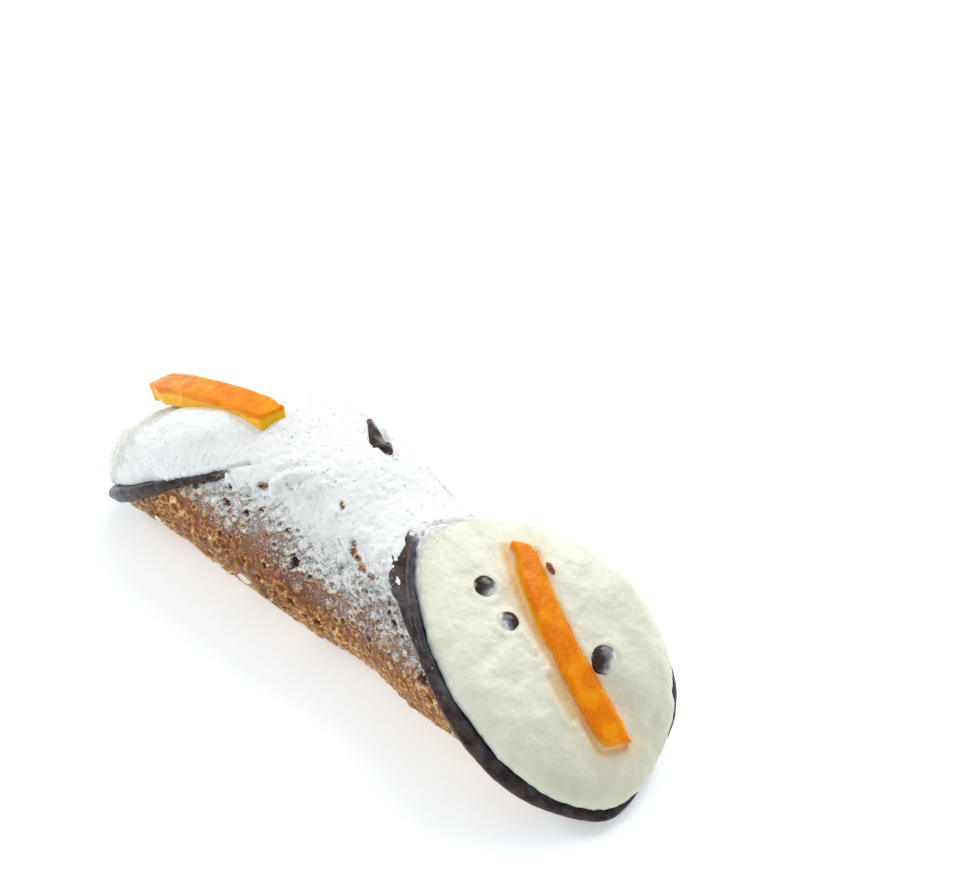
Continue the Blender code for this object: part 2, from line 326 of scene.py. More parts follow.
# %% Searching surfaces
def surface_of(*meshes):
    """A tree of one or more meshes that rays and nearest-point searches can use."""
    points, faces = [], []
    for mesh in meshes:
        start = len(points)
        points += [vertex.co.copy() for vertex in mesh.vertices]
        faces += [[start + index for index in face.vertices] for face in mesh.polygons]
    return BVHTree.FromPolygons(points, faces)


def distance_to(tree, points):
    """How far each point is from the nearest place on a surface."""
    return np.array([tree.find_nearest(Vector(point))[3] for point in points.tolist()])


# %% Soft unevenness
def rough(points, size, seed, octaves=2):
    """Soft random bumps of about that size, from -1 to 1, the same each time."""
    shift = Vector((seed * 7.13, seed * 3.71, seed * 5.37))
    where = [Vector(point) / size + shift for point in points.reshape(-1, 3).tolist()]
    values = [noise.fractal(place_at, 1.0, 2.0, octaves) for place_at in where]
    return np.array(values).reshape(points.shape[:-1])


def bumps(points, *layers):
    """Bumps in layers, each given by its height and size in mm, its seed and perhaps its octaves."""
    return sum(height * MM * rough(points, size * MM, *more) for height, size, *more in layers)


# %% [markdown]
# ## Finishes
# Every finish is one Principled shader whose colour, roughness and bump come from nodes. Image
# textures would have to be drawn and wrapped; noise and cell patterns need neither, and look the
# same from all sides. Two small classes keep the node code short. A wire is a node's output that
# is added and multiplied like a number, and a finish adds the nodes and plugs the wires in.

# %% Wires
class Wire:
    """A node's output, which can be added, subtracted and multiplied like a number."""

    def __init__(self, finish, socket):
        self.finish = finish
        self.socket = socket

    def calc(self, operation, first, second):
        """One sum on two numbers or wires."""
        return self.finish.add("ShaderNodeMath", {0: first, 1: second}, operation=operation)

    def __add__(self, other):
        return self.calc("ADD", self, other)

    def __radd__(self, other):
        return self.calc("ADD", other, self)

    def __sub__(self, other):
        return self.calc("SUBTRACT", self, other)

    def __rsub__(self, other):
        return self.calc("SUBTRACT", other, self)

    def __mul__(self, other):
        return self.calc("MULTIPLY", self, other)

    def at_least(self, other):
        """The larger of the two."""
        return self.calc("MAXIMUM", self, other)

    def limited(self):
        """The same sum, kept between 0 and 1."""
        self.socket.node.use_clamp = True
        return self

    def step(self, low, high):
        """0 where it is under low, 1 where it is over high, with a soft step between."""
        inputs = {"Value": self, "From Min": low, "From Max": high}
        return self.finish.add("ShaderNodeMapRange", inputs, interpolation_type="SMOOTHSTEP")

    def beside(self, output):
        """Another output of the same node."""
        return Wire(self.finish, self.socket.node.outputs[output])


# %% Finishes, made of nodes
class Finish:
    """A material with one Principled shader, and short ways to add nodes to it."""

    def __init__(self, name):
        self.material = bpy.data.materials.new(name)
        self.material.use_nodes = True
        self.tree = self.material.node_tree
        self.where = self.add("ShaderNodeTexCoord", {}, output="Object")

    def plug(self, socket, value):
        """Links a wire to a socket, or sets the socket to a plain value."""
        if isinstance(value, Wire):
            self.tree.links.new(value.socket, socket)
        else:
            socket.default_value = value

    def add(self, kind, inputs, output=0, **settings):
        """Adds a node, plugs in its inputs, and gives back one of its outputs."""
        node = self.tree.nodes.new(kind)
        for name, value in settings.items():
            setattr(node, name, value)
        for name, value in inputs.items():
            self.plug(node.inputs[name], value)
        return Wire(self, node.outputs[output])

    def noted(self, name):
        """The number that the mesh keeps for each point."""
        return self.add("ShaderNodeAttribute", {}, output="Fac", attribute_name=name)

    def mottle(self, size, detail=3.0, rough_share=0.55):
        """Random spots of about that size in metres, from 0 to 1."""
        inputs = {"Vector": self.where, "Scale": 1.0 / size, "Detail": detail, "Roughness": rough_share}
        return self.add("ShaderNodeTexNoise", inputs, output="Fac")

    def cells(self, size, shake=0.0):
        """Distance from the middle of random cells of about that size, shaken by noise."""
        push = self.add("ShaderNodeTexNoise", {"Vector": self.where, "Scale": 1.0 / size}, output="Color")
        inputs = {0: push, 1: (shake * size,) * 3, 2: self.where}
        shaken = self.add("ShaderNodeVectorMath", inputs, operation="MULTIPLY_ADD")
        return self.add("ShaderNodeTexVoronoi", {"Vector": shaken, "Scale": 1.0 / size}, output="Distance")

    def paint(self, base, *coats):
        """Lays colours over a base. Each coat is how much of it shows, and its colour."""
        share_socket, under_socket, over_socket, result = 0, 6, 7, 2
        for share, shade in coats:
            inputs = {share_socket: share, under_socket: base, over_socket: shade}
            base = self.add("ShaderNodeMix", inputs, output=result, data_type="RGBA")
        return base

    def done(self, base, roughness, reliefs=(), others=None):
        """Plugs in colour, roughness and bumps (height, depth in metres), the lowest bump first."""
        inputs = {"Base Color": base, "Roughness": roughness, **(others or {})}
        for height, depth in reliefs:
            bump = {"Height": height, "Distance": depth}
            if "Normal" in inputs:
                bump["Normal"] = inputs["Normal"]
            inputs["Normal"] = self.add("ShaderNodeBump", bump, output="Normal")
        for name, value in inputs.items():
            self.plug(self.tree.nodes["Principled BSDF"].inputs[name], value)
        return self.material


def colour(red, green, blue):
    """A colour from screen values of 0 to 255, turned into the linear ones shaders use."""
    shares = [value / 255.0 for value in (red, green, blue)]
    linear = [s / 12.92 if s <= 0.04045 else ((s + 0.055) / 1.055) ** 2.4 for s in shares]
    return (*linear, 1.0)


# %% [markdown]
# ## Where powdered sugar lies
# Sugar was sieved over the pastry from above: thick along the top, thinner down the sides, and
# gone before the underside. Its edge isn't a line but a speckle that opens up. One function says
# how much lies at each place on the roll, and every piece and finish asks it, so the dusting runs
# on from piece to piece.

# %% Distances over the roll
ROUND_DEGREE = ROLL_RADIUS * math.radians(1.0)


def roll_line(start, end):
    """A line between two places (x in mm, angle): where it starts, its direction and length."""
    first = np.array([start[0] * MM, start[1] * ROUND_DEGREE])
    along = np.array([end[0] * MM, end[1] * ROUND_DEGREE]) - first
    length = np.linalg.norm(along)
    return first, along / length, length


def over_roll(x, angle, start, end):
    """Share along a line between two places on the roll, and distance beside it."""
    first, along, length = roll_line(start, end)
    from_x, from_round = x - first[0], angle * ROUND_DEGREE - first[1]
    share = (from_x * along[0] + from_round * along[1]) / length
    return share, from_round * along[0] - from_x * along[1]


def near_line(x, angle, start, end, width):
    """1 on a line between two places on the roll, fading over that width in mm."""
    share, beside = over_roll(x, angle, start, end)
    past = np.maximum(np.maximum(-share, share - 1.0), 0.0) * roll_line(start, end)[2]
    return bell(np.hypot(beside, past), 0.0, width * MM)


# %% Where the sugar is knocked off: start, end, width in mm, how bare
BARE_LINES = (
    ((8.3, 35.5), (9.6, 40.0), 0.70, 0.72),
    ((9.6, 40.0), (13.0, 43.0), 0.75, 0.68),
    ((13.0, 43.0), (17.3, 44.2), 0.60, 0.60),
    ((1.2, 23.4), (1.8, 24.4), 0.40, 1.3),
    ((-16.2, 43.2), (-15.0, 40.8), 0.55, 1.3),
    ((-4.6, -25.5), (-15.8, -43.2), 2.4, 1.3),
)


def bare_at(x, angle):
    """How bare the sugar is knocked off along those lines: 1 all of it."""
    lines = [how_bare * near_line(x, angle, *line) for *line, how_bare in BARE_LINES]
    return np.minimum(sum(lines), 1.0)


# %% The sugar's edges
NEAR_FULL, NEAR_NONE, FAR_NONE, FAR_FADE, NEAR_POWER = 37.0, 93.0, -92.0, 38.0, 1.08


def sugar_at(x, angle):
    """How much sugar lies on the dough: 1 thick, 0 none."""
    near_full = NEAR_FULL - 15.0 * smooth(x, 4.0 * MM, 20.0 * MM) + 5.0 * bell(x, -18.0 * MM, 9.0 * MM)
    near_none = NEAR_NONE - 12.0 * bell(x, -14.0 * MM, 10.0 * MM) - 8.0 * smooth(-x, 22.0 * MM, 34.0 * MM)
    far_none = FAR_NONE + 10.0 * bell(x, 5.0 * MM, 20.0 * MM)
    near = 1.0 - np.clip((angle - near_full) / (near_none - near_full), 0.0, 1.0)
    far = smooth(angle, far_none, far_none + FAR_FADE)
    return near**NEAR_POWER * far * (1.0 - bare_at(x, angle))


# %% Sugar in a finish
SUGAR_WHITE = colour(248, 251, 249)


def dust(finish, base, roughness, reliefs, others=None):
    """Sieves sugar over a finish: grains that close up where it lies thick, over a thin veil."""
    lies = finish.noted("sugar")
    specks = finish.mottle(0.27 * MM, detail=2.0, rough_share=0.8) - 0.5
    clumps = finish.mottle(1.7 * MM) - 0.5
    level = specks * 2.6 + clumps * 1.6 + lies * 1.55
    veil = lies.step(0.04, 0.55) * 0.20
    share = (level.step(0.64, 0.90) * lies.step(0.0, 0.06)).at_least(veil)
    grains = finish.mottle(0.22 * MM, detail=2.0)
    white = finish.paint(colour(238, 241, 240), (grains.step(0.3, 0.6), SUGAR_WHITE))
    dull = (roughness + share * 1.2).limited()
    lumps = (share * (grains + 0.8), 0.16 * MM)
    return finish.done(finish.paint(base, (share, white)), dull, (*reliefs, lumps), others)


# %% [markdown]
# ## The shell of fried dough
# The dough fries to a brown crust full of blisters: most are small golden domes, and some have
# popped and left a rim round a dark hole. A displacement texture could raise them all, but it
# can't tell a dome from a burst one. Here the blisters are placed one by one, the large ones
# first, and each lifts or sinks the points near it. It also notes how browned those points are,
# and paints shade into the holes, the sunken middles and round the feet of the blisters, and a
# paler rim or top that is partly a painted highlight.

# %% The finish of the dough
CRUST_STOPS = (
    (0.00, colour(52, 24, 10)),
    (0.20, colour(88, 45, 17)),
    (0.42, colour(132, 74, 26)),
    (0.60, colour(166, 101, 36)),
    (0.80, colour(210, 152, 74)),
    (1.00, colour(246, 216, 158)),
)


def browned(finish, shade):
    """The crust's colour at each shade, from nearly burnt to pale gold."""
    wire = finish.add("ShaderNodeValToRGB", {"Fac": shade}, output="Color")
    stops = wire.socket.node.color_ramp.elements
    stops[0].position, stops[0].color = CRUST_STOPS[0]
    stops[1].position, stops[1].color = CRUST_STOPS[-1]
    for position, crust in CRUST_STOPS[1:-1]:
        stops.new(position).color = crust
    return wire


def craters(finish, size):
    """Small blisters: how far into its mound a place is, and how far into its burst middle."""
    far = finish.cells(size, shake=0.7)
    fate = finish.add("ShaderNodeSeparateColor", {"Color": far.beside("Color")}, output="Red")
    return far.step(0.60, 0.36), far.step(0.36, 0.14) * fate.step(0.15, 0.6)


def dough_finish():
    """Fried dough: oily and unevenly browned, with shade painted into the burst pits of its small blisters
    and a paler, golden top on each, partly a painted highlight.
    """
    finish = Finish("fried_dough")
    mound, pit = craters(finish, 1.25 * MM)
    crowd = finish.mottle(6.0 * MM).step(0.40, 0.56)
    fine = finish.mottle(0.6 * MM, detail=4.0)
    broad = finish.mottle(9.0 * MM, detail=2.0)
    # Painted shade in the small blisters' burst pits, and a paler top on each that is partly a painted
    # highlight.
    shade = finish.noted("browning_and_painted_shade") + (mound * 0.20 - pit * 0.34) * crowd
    shade = shade + (fine - 0.5) * 0.42 + (broad - 0.5) * 0.26
    reliefs = (((mound - pit * 1.5) * crowd, 0.26 * MM), (fine, 0.14 * MM))
    return dust(finish, browned(finish, shade), 0.16 + fine * 0.36, reliefs, {"Specular IOR Level": 0.38})


# %% The shell's grid, outside and inside
SHELL_LINES, SHELL_STATIONS, SHELL_INSIDE = 280, 330, 6


def near_side_turns(count):
    """Places of the lines round the leaf, closer together on the near side."""
    turn, far_turn = np.linspace(0.0, 1.0, count), 0.36
    lean = np.sin(math.tau * (turn - far_turn)) + math.sin(math.tau * far_turn)
    return (turn + 0.5 / math.tau * lean)[:, None]


def leaf_stations(turn, count):
    """Positions along the roll between the dough's two rounded lips."""
    start = rim_on_line(BACK, turn)[0] + LIP
    stop = rim_on_line(FRONT, turn)[0] - LIP
    return start + (stop - start) * np.linspace(0.0, 1.0, count)[None, :]


def lip_middle(end, turn):
    """The outermost points of a lip, half way through the dough."""
    x, angle = rim_on_line(end, turn)
    return around(x, angle, (leaf_radius(x, turn) + roll_radius(x) - DOUGH) / 2.0)


def shell_grid():
    """Points of the whole shell, and x and angle of the outside ones."""
    turn = near_side_turns(SHELL_LINES)
    x = leaf_stations(turn, SHELL_STATIONS)
    angle = leaf_angle(x, turn)
    inner_x = leaf_stations(turn, SHELL_INSIDE)[:, ::-1]
    rows = [
        around(x, angle, leaf_radius(x, turn)),
        lip_middle(FRONT, turn),
        around(inner_x, leaf_angle(inner_x, turn), roll_radius(inner_x) - DOUGH),
        lip_middle(BACK, turn),
    ]
    return np.concatenate(rows, axis=1), x, angle


grid, shell_x, shell_angle = shell_grid()
corners = [np.array(corner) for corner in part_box("shell")]
roll_at += (corners[0] + corners[1]) / 2.0 - (grid.min(axis=(0, 1)) + grid.max(axis=(0, 1))) / 2.0
roll_at[2] = 0.0
grid, shell_x, shell_angle = shell_grid()
print("the roll lies at", (roll_at / MM).round(2), "mm in the frame")

# %% Places for the blisters
BLISTER_TRIES = 16000
BLISTER_RADIUS, BLISTER_SPREAD = 0.58 * MM, 0.40
SMALLEST, LARGEST = 0.40 * MM, 2.0 * MM
outside = grid[:, :SHELL_STATIONS]


def cell_area(points):
    """Area of the grid's cells, given to their first corners."""
    along = np.gradient(points, axis=1)
    across = np.gradient(points, axis=0)
    return np.linalg.norm(np.cross(along, across), axis=-1)


def blister_places(points, angle):
    """Middles and radii of blisters that don't overlap, the largest first."""
    weight = cell_area(points).ravel()
    flat = points.reshape(-1, 3)
    picked = chance.choice(len(flat), BLISTER_TRIES, p=weight / weight.sum())
    radii = BLISTER_RADIUS * np.exp(BLISTER_SPREAD * chance.standard_normal(BLISTER_TRIES))
    radii = np.sort(np.clip(radii, SMALLEST, LARGEST))[::-1]
    calm = rough(flat[picked], 11.0 * MM, 3) + 0.5 * smooth(angle.ravel()[picked] % 360.0, 60.0, 105.0)
    middles, kept = np.zeros((0, 3)), []
    for middle, radius, bubbly in zip(flat[picked], radii, calm):
        if bubbly < -0.12 and radius < 1.2 * MM:
            continue
        room = np.linalg.norm(middles - middle, axis=1) - np.array(kept)
        if len(kept) and room.min() < 0.82 * radius:
            continue
        middles = np.vstack([middles, middle])
        kept.append(radius)
    return middles, np.array(kept)


middles, radii = blister_places(outside, shell_angle)
print(len(radii), "blisters from", (radii.min() / MM).round(2), "to", (radii.max() / MM).round(2), "mm")

# %% Blisters that stand out, given one by one: x, angle, radius
BURST_BLISTERS = (
    (-19.1, 50.7, 1.9), (-23.2, 62.9, 1.5), (-17.2, 60.9, 1.3), (-13.7, 53.9, 1.1),
    (-24.0, 53.9, 1.3), (-2.0, 68.3, 2.0), (2.5, 71.0, 1.1), (27.0, 62.6, 1.6),
    (39.4, 81.0, 2.0), (30.5, 66.0, 1.1), (-8.0, 67.0, 1.0), (1.4, 23.8, 0.7),
    (-32.3, 79.4, 1.0), (12.0, 84.0, 1.1), (20.5, 92.0, 1.2), (-41.0, 108.0, 1.2),
)
FULL_BLISTERS = (
    (35.6, 75.2, 1.35), (30.4, 79.9, 1.1), (32.2, 74.1, 0.8), (38.0, 88.0, 1.2), (36.6, 68.5, 0.9),
    (33.4, 86.5, 1.0), (28.4, 88.0, 1.1), (24.5, 79.0, 0.9), (43.5, 92.0, 1.2), (41.0, 99.0, 1.0),
    (-31.2, 67.0, 1.25), (-35.7, 76.0, 1.1), (-29.1, 69.6, 1.0), (-28.7, 78.1, 0.9), (-38.5, 84.0, 1.0),
)
PROUD, ROOM = 0.3 * MM, 1.9 * MM
placed = np.array(BURST_BLISTERS + FULL_BLISTERS)
placed_x = placed[:, 0] * MM
placed_middles = around(placed_x, placed[:, 1], roll_radius(placed_x) + PROUD)
clear = np.array([min(np.linalg.norm(placed_middles - m, axis=1)) for m in middles]) > ROOM
middles = np.vstack([placed_middles, middles[clear]])
radii = np.concatenate([placed[:, 2] * MM, radii[clear]])

# %% What became of each blister
DOME, SUNKEN, BURST, COIN = 0, 1, 2, 3
BIG, BIG_BURST_SHARE, SMALL_BURST_SHARE, NOT_DOME_SHARE = 0.8 * MM, 0.16, 0.05, 0.62
DEPTH_OF_BURST, DEEPEST_FROM = 1.15 * MM, 1.5 * MM
fate = chance.random(len(radii))
burst = fate < np.where(radii > BIG, BIG_BURST_SHARE, SMALL_BURST_SHARE)
kinds = np.where(burst, BURST, np.where(fate < NOT_DOME_SHARE, SUNKEN, DOME))
kinds[: len(BURST_BLISTERS)] = BURST
kinds[len(BURST_BLISTERS) : len(placed)] = COIN


# %% Raising and bursting them
def blister_relief(points):
    """How far each point moves out, how far in, and its painted shade: darker in holes, sunken middles and
    round the feet, paler on rims and tops, partly as a highlight.
    """
    tree = kdtree.KDTree(len(points))
    for index, point in enumerate(points.tolist()):
        tree.insert(point, index)
    tree.balance()
    out, sunk, shade = (np.zeros(len(points)) for _ in range(3))
    uneven = 1.0 + 0.34 * rough(points, 1.2 * MM, 11) + 0.22 * rough(points, 0.55 * MM, 12)
    for middle, radius, kind in zip(middles, radii, kinds):
        near = tree.find_range(middle, 1.5 * radius)
        if not near:
            continue
        index = np.array([found[1] for found in near])
        reach = np.array([found[2] for found in near]) / radius * uneven[index]
        # The shade painted here: darker in the holes, sunken middles and round the feet, and paler rims
        # and tops that are partly a painted highlight.
        if kind == BURST:
            ring = bell(reach, 0.92, 0.26)
            hole = 1.0 - smooth(reach, 0.45, 0.85)
            out[index] = np.maximum(out[index], 0.30 * radius * ring)
            sunk[index] = np.maximum(sunk[index], hole * min(1.0, radius / DEEPEST_FROM))
            shade[index] += 0.36 * ring - 0.62 * hole
        elif kind == SUNKEN:
            ring = bell(reach, 0.80, 0.30)
            out[index] = np.maximum(out[index], 0.36 * radius * ring)
            shade[index] += 0.42 * ring - 0.12 * bell(reach, 0.0, 0.45) - 0.10 * bell(reach, 1.25, 0.18)
        elif kind == COIN:
            plateau = 1.0 - smooth(reach, 0.72, 1.08)
            ring = bell(reach, 0.78, 0.20)
            out[index] = np.maximum(out[index], radius * (0.32 * plateau + 0.12 * ring))
            shade[index] += 0.24 * plateau + 0.26 * ring - 0.12 * bell(reach, 1.2, 0.16)
        else:
            dome = np.clip(1.0 - reach**2, 0.0, 1.0) ** 0.8
            out[index] = np.maximum(out[index], 0.46 * radius * dome)
            shade[index] += 0.26 * dome - 0.10 * bell(reach, 1.15, 0.18)
    return out, sunk, shade


flat_outside = outside.reshape(-1, 3)
raised, sunk, shade = blister_relief(flat_outside)
print("blisters raise the crust up to", (raised.max() / MM).round(2), "mm")


# %% The crust's colour and the room under the chocolate
under_coat = smooth(from_rims(shell_x, shell_angle), 2.0 * MM, 5.5 * MM).ravel()
swells = bumps(flat_outside, (0.28, 6.0, 21), (0.10, 2.0, 22))
lift = (raised + swells) * (0.15 + 0.85 * under_coat) - DEPTH_OF_BURST * sunk * under_coat
golden = 0.13 * smooth(shell_angle % 360.0, 75.0, 150.0).ravel()
# Browning, with the blisters' painted shade and highlight added in.
browning_and_painted_shade = 0.38 + golden + shade + 0.10 * rough(flat_outside, 16.0 * MM, 23)
sugar = sugar_at(shell_x, turned(shell_angle, 0.0)).ravel() * (1.0 - 0.80 * sunk)


# %% The shell
def on_whole_grid(values, background):
    """Values of the outside points, with a background value for the lips and the inside."""
    whole = np.full(grid.shape[:2], background)
    whole[:, :SHELL_STATIONS] = values.reshape(-1, SHELL_STATIONS)
    return whole


mesh = make_mesh("shell_crust", grid, grid_faces(*grid.shape[:2], True, True))
points, normals = read_points(mesh)
write_points(mesh, points + normals * on_whole_grid(lift, 0.0).reshape(-1, 1))
# The browning carries the blisters' painted shade and highlight to the finish.
note(mesh, "browning_and_painted_shade", on_whole_grid(browning_and_painted_shade, 0.5))

# %% Sugar stays on what faces up
_, bumpy_normals = read_points(mesh)
uphill = bumpy_normals[:, 2] - normals[:, 2]
lies = on_whole_grid(sugar, 0.0).ravel()
on_top = 0.55 * on_whole_grid(np.clip(raised / (0.3 * MM), 0.0, 1.0), 0.0).ravel()
lies = np.clip(lies + (0.9 * uphill + 0.25 * on_top) * smooth(lies, 0.0, 0.3), 0.0, 1.2)
note(mesh, "sugar", lies)
shell = place("shell_crust", mesh, dough_finish(), "fried_dough", "shell")

# %% [markdown]
# ## The dipped rims
# Each rim was dipped in melted dark chocolate. The coat is thickest just behind the lip, thins to
# a wavy edge, and pooled under the tongue as it set. Solidify could thicken a strip, but then the
# edge would be square. So the section is drawn point by point: over the outside, round a full
# nose, and back along the dough. Cream wiped over the inner edge leaves a thin grey film.

# %% The finish of the chocolate
def chocolate_finish():
    """Dark chocolate: satin, with a dull bloom, a film of cream and a little sugar."""
    finish = Finish("dark_chocolate")
    bloom = finish.mottle(2.6 * MM, detail=5.0, rough_share=0.65).step(0.38, 0.70)
    smear = (finish.noted("film") * (finish.mottle(0.8 * MM) + 0.35)).limited()
    base = finish.paint(colour(36, 19, 13), (bloom, colour(80, 56, 50)), (smear, colour(120, 134, 150)))
    reliefs = ((finish.mottle(1.6 * MM), 0.16 * MM),)
    return dust(finish, base, 0.26 + bloom * 0.22, reliefs, {"Specular IOR Level": 0.24})


# %% The coat's section
COAT_LINES, COAT_BAND_STEPS, COAT_NOSE_STEPS = 460, 18, 16
LEAST_REACH, LEAST_BAND, BURIED = 0.7 * MM, 0.35 * MM, 1.2 * MM
FAR_THICK_ANGLE, POOL_ANGLE, POOL_SPREAD = -108.0, 163.0, 16.0


def coat_thickness(end, angle):
    """How thick the coat lies on the dough: scraped thin along the top of the back rim."""
    scraped = end["scraped"] * smooth(abs(turned(angle, 0.0)), 58.0, 42.0)
    return COAT * (1.0 - scraped) + 0.5 * end["far_cap"] * lobe(angle, FAR_THICK_ANGLE, FAR_SPREAD)


def coat_grid(end):
    """Points of a coat, with x and angle: band, nose, and back inside the dough."""
    side = end["side"]
    turn = np.linspace(0.0, 1.0, COAT_LINES)[:, None]
    rim, angle = rim_on_line(end, turn)
    thick = coat_thickness(end, angle)
    ragged = bumps(around(rim, angle, roll_radius(rim)), (0.45, 4.0, 31), (0.20, 1.3, 32))
    drips = MM * sum(width * lobe(angle, at, spread) for width, at, spread in end["drips"])
    reach = np.maximum(band_width(end, angle) + drips, LEAST_REACH) + ragged
    back = np.linspace(1.0, 0.0, COAT_BAND_STEPS)[None, :]
    band_x = rim - side * back * np.maximum(reach, LEAST_BAND)
    outer = leaf_radius(band_x, turn) + thick * np.sqrt(smooth(1.0 - back, -0.02, 0.42))
    inner, crown = roll_radius(rim) - DOUGH, leaf_radius(rim, turn) + thick
    phi = np.linspace(0.0, math.pi, COAT_NOSE_STEPS)[None, 1:]
    bulge = np.sin(phi) ** 0.8 * (1.0 + 0.12 * np.cos(phi))
    nose_width = cap_width(end, angle) + end["pool"] * lobe(angle, POOL_ANGLE, POOL_SPREAD)
    nose_x = rim + side * (RIM_GAP * np.sin(phi) + nose_width * bulge)
    nose = (crown + inner) / 2.0 + (crown - inner) / 2.0 * np.cos(phi)
    buried_x = np.concatenate([rim - side * BURIED, rim - side * 0.8 * band_width(end, angle)], axis=1)
    buried = np.broadcast_to(roll_radius(rim) - 0.4 * DOUGH, buried_x.shape)
    x = np.concatenate([band_x, nose_x, buried_x], axis=1)
    radius = np.concatenate([outer, nose, buried], axis=1)
    return around(x, leaf_angle(x, turn), radius), x, leaf_angle(x, turn)


# %% The two coats
def sugar_on_coat(end, x, angle):
    """Sugar hides the coat along the top, and only specks of it lie further down."""
    near = 1.0 - 0.96 * smooth(angle, end["bare_from"], end["bare_from"] + 14.0)
    specks = end["specks"] * bell(angle, 44.0, 7.0)
    return (near + specks) * sugar_at(x, angle) ** 0.5 * smooth(angle, -85.0, -50.0)


def coat_mesh(name, end):
    """A coat with its unevenness. The film of cream is noted later, when the cream is there."""
    points, x, angle = coat_grid(end)
    mesh = make_mesh(name, points, grid_faces(*points.shape[:2], True, True))
    places, normals = read_points(mesh)
    lumps = bumps(places, (0.16, 5.0, 33), (0.07, 1.6, 34))
    write_points(mesh, places + normals * lumps[:, None])
    note(mesh, "sugar", sugar_on_coat(end, x, turned(angle, 0.0)))
    clean(mesh)
    return mesh


coats = {"front": coat_mesh("chocolate_front_coat", FRONT), "back": coat_mesh("chocolate_back_coat", BACK)}

# %% [markdown]
# ## The ricotta cream
# Sweet ricotta is piped in from both ends and smoothed off with a spatula, so each end is a soft
# dome over the slanted opening. It keeps small lumps, a few creases, and a swelling round
# everything pressed into it. Sculpting by hand would do, but a formula for the dome with noise
# and a few named creases can be changed at any time.

# %% The finish of the cream
def cream_finish():
    """Ricotta: off-white and moist, a little see-through, with paler grains in it."""
    finish = Finish("ricotta_cream")
    broad = finish.mottle(8.0 * MM)
    fine = finish.mottle(0.8 * MM, detail=4.0)
    curds = (1.0 - finish.cells(2.3 * MM, shake=0.4).step(0.08, 0.16)) * broad.step(0.45, 0.6)
    bran = 1.0 - finish.cells(7.3 * MM).step(0.035, 0.055)
    streaky = 0.55 + finish.mottle(0.7 * MM)
    base = finish.paint(
        colour(229, 230, 209),
        (broad.step(0.35, 0.7), colour(237, 239, 224)),
        (curds * 0.8, colour(252, 252, 247)),
        # Painted shade: the lower part of the front dome, darker and warmer, where less light falls.
        (finish.noted("low") * 0.55, colour(206, 197, 166)),
        (bran * 0.55, colour(206, 178, 118)),
        # Syrup by the peel, and a painted orange glow of light passing through it.
        (finish.noted("syrup_and_glow"), colour(250, 196, 92)),
        ((finish.noted("thin") * streaky).limited(), colour(140, 150, 160)),
    )
    reliefs = ((finish.mottle(3.4 * MM, detail=5.0), 0.55 * MM), (fine, 0.12 * MM), (curds, 0.03 * MM))
    light_inside = {
        "Subsurface Weight": 0.25,
        "Subsurface Radius": (1.0, 0.9, 0.7),
        "Subsurface Scale": 1.2 * MM,
    }
    return dust(finish, base, 0.36 + fine * 0.2, reliefs, light_inside)


# %% The cream's edge, its dome and the frame of an opening
CREAM_LINES, DOME_RINGS = 380, 88
HUG_BACK, HUG_OUT, HOLLOW_ANGLE, HOLLOW_SPREAD = 1.1 * MM, 1.9 * MM, -121.0, 19.0
GAP_INSIDE = 0.3 * MM


def cream_neck(end, turn):
    """Three points of each line: inside the coat, at the coat's mouth, and at the cream's edge."""
    rim, angle = rim_on_line(end, turn)
    side = end["side"]
    hug = lobe(angle, end["hug_angle"], end["hug_spread"])
    neck = rim + side * (2.0 * RIM_GAP + cap_width(end, angle) - HUG_BACK * hug)
    radius = cream_radius(end, rim, angle) + HUG_OUT * hug
    radius = radius - end["hollow"] * lobe(angle, HOLLOW_ANGLE, HOLLOW_SPREAD)
    inside = around(rim + side * GAP_INSIDE, angle, roll_radius(rim) - DOUGH - GAP_INSIDE)
    return inside, around(neck, angle, radius - LIP), around(neck + side * LIP, angle, radius)


def opening(end):
    """The opening's middle, its way down the slope and its way out."""
    turn = np.linspace(0.0, 1.0, 65)[:-1, None]
    middle = cream_neck(end, turn)[2].mean(axis=(0, 1))
    notch = around(end["top_x"], 0.0, roll_radius(end["top_x"]))
    tip = around(end["tip_x"], 180.0, roll_radius(end["tip_x"]))
    down = (tip - notch) / np.linalg.norm(tip - notch)
    outward = np.cross(down, (0.0, 1.0, 0.0)) * end["side"]
    return middle, down, outward / np.linalg.norm(outward)


def down_across(end, points):
    """Places over an opening: how far down its slope and how far across it."""
    middle, down, _ = opening(end)
    return (points - middle) @ down, points[..., 1] - middle[1]


def dome_grid(end):
    """Lines of points from the coat's mouth to the middle of the dome."""
    turn = np.linspace(0.0, 1.0, CREAM_LINES)[:, None]
    inside, neck, edge = cream_neck(end, turn)
    middle, _, outward = opening(end)
    from_middle = (edge - middle) / np.linalg.norm(edge - middle, axis=-1, keepdims=True)
    edge = edge + from_middle * bumps(edge, (0.35, 4.5, 41), (0.15, 1.5, 42))[..., None]
    reach = np.cos(0.5 * np.pi * np.linspace(0.0, 1.0, DOME_RINGS))[None, :, None]
    rise = np.sqrt(np.maximum(1.0 - reach ** end["cream_roundness"], 0.0))
    dome = middle + (edge - middle) * reach + outward * end["cream_rise"] * rise
    return np.concatenate([inside, neck, dome], axis=1)


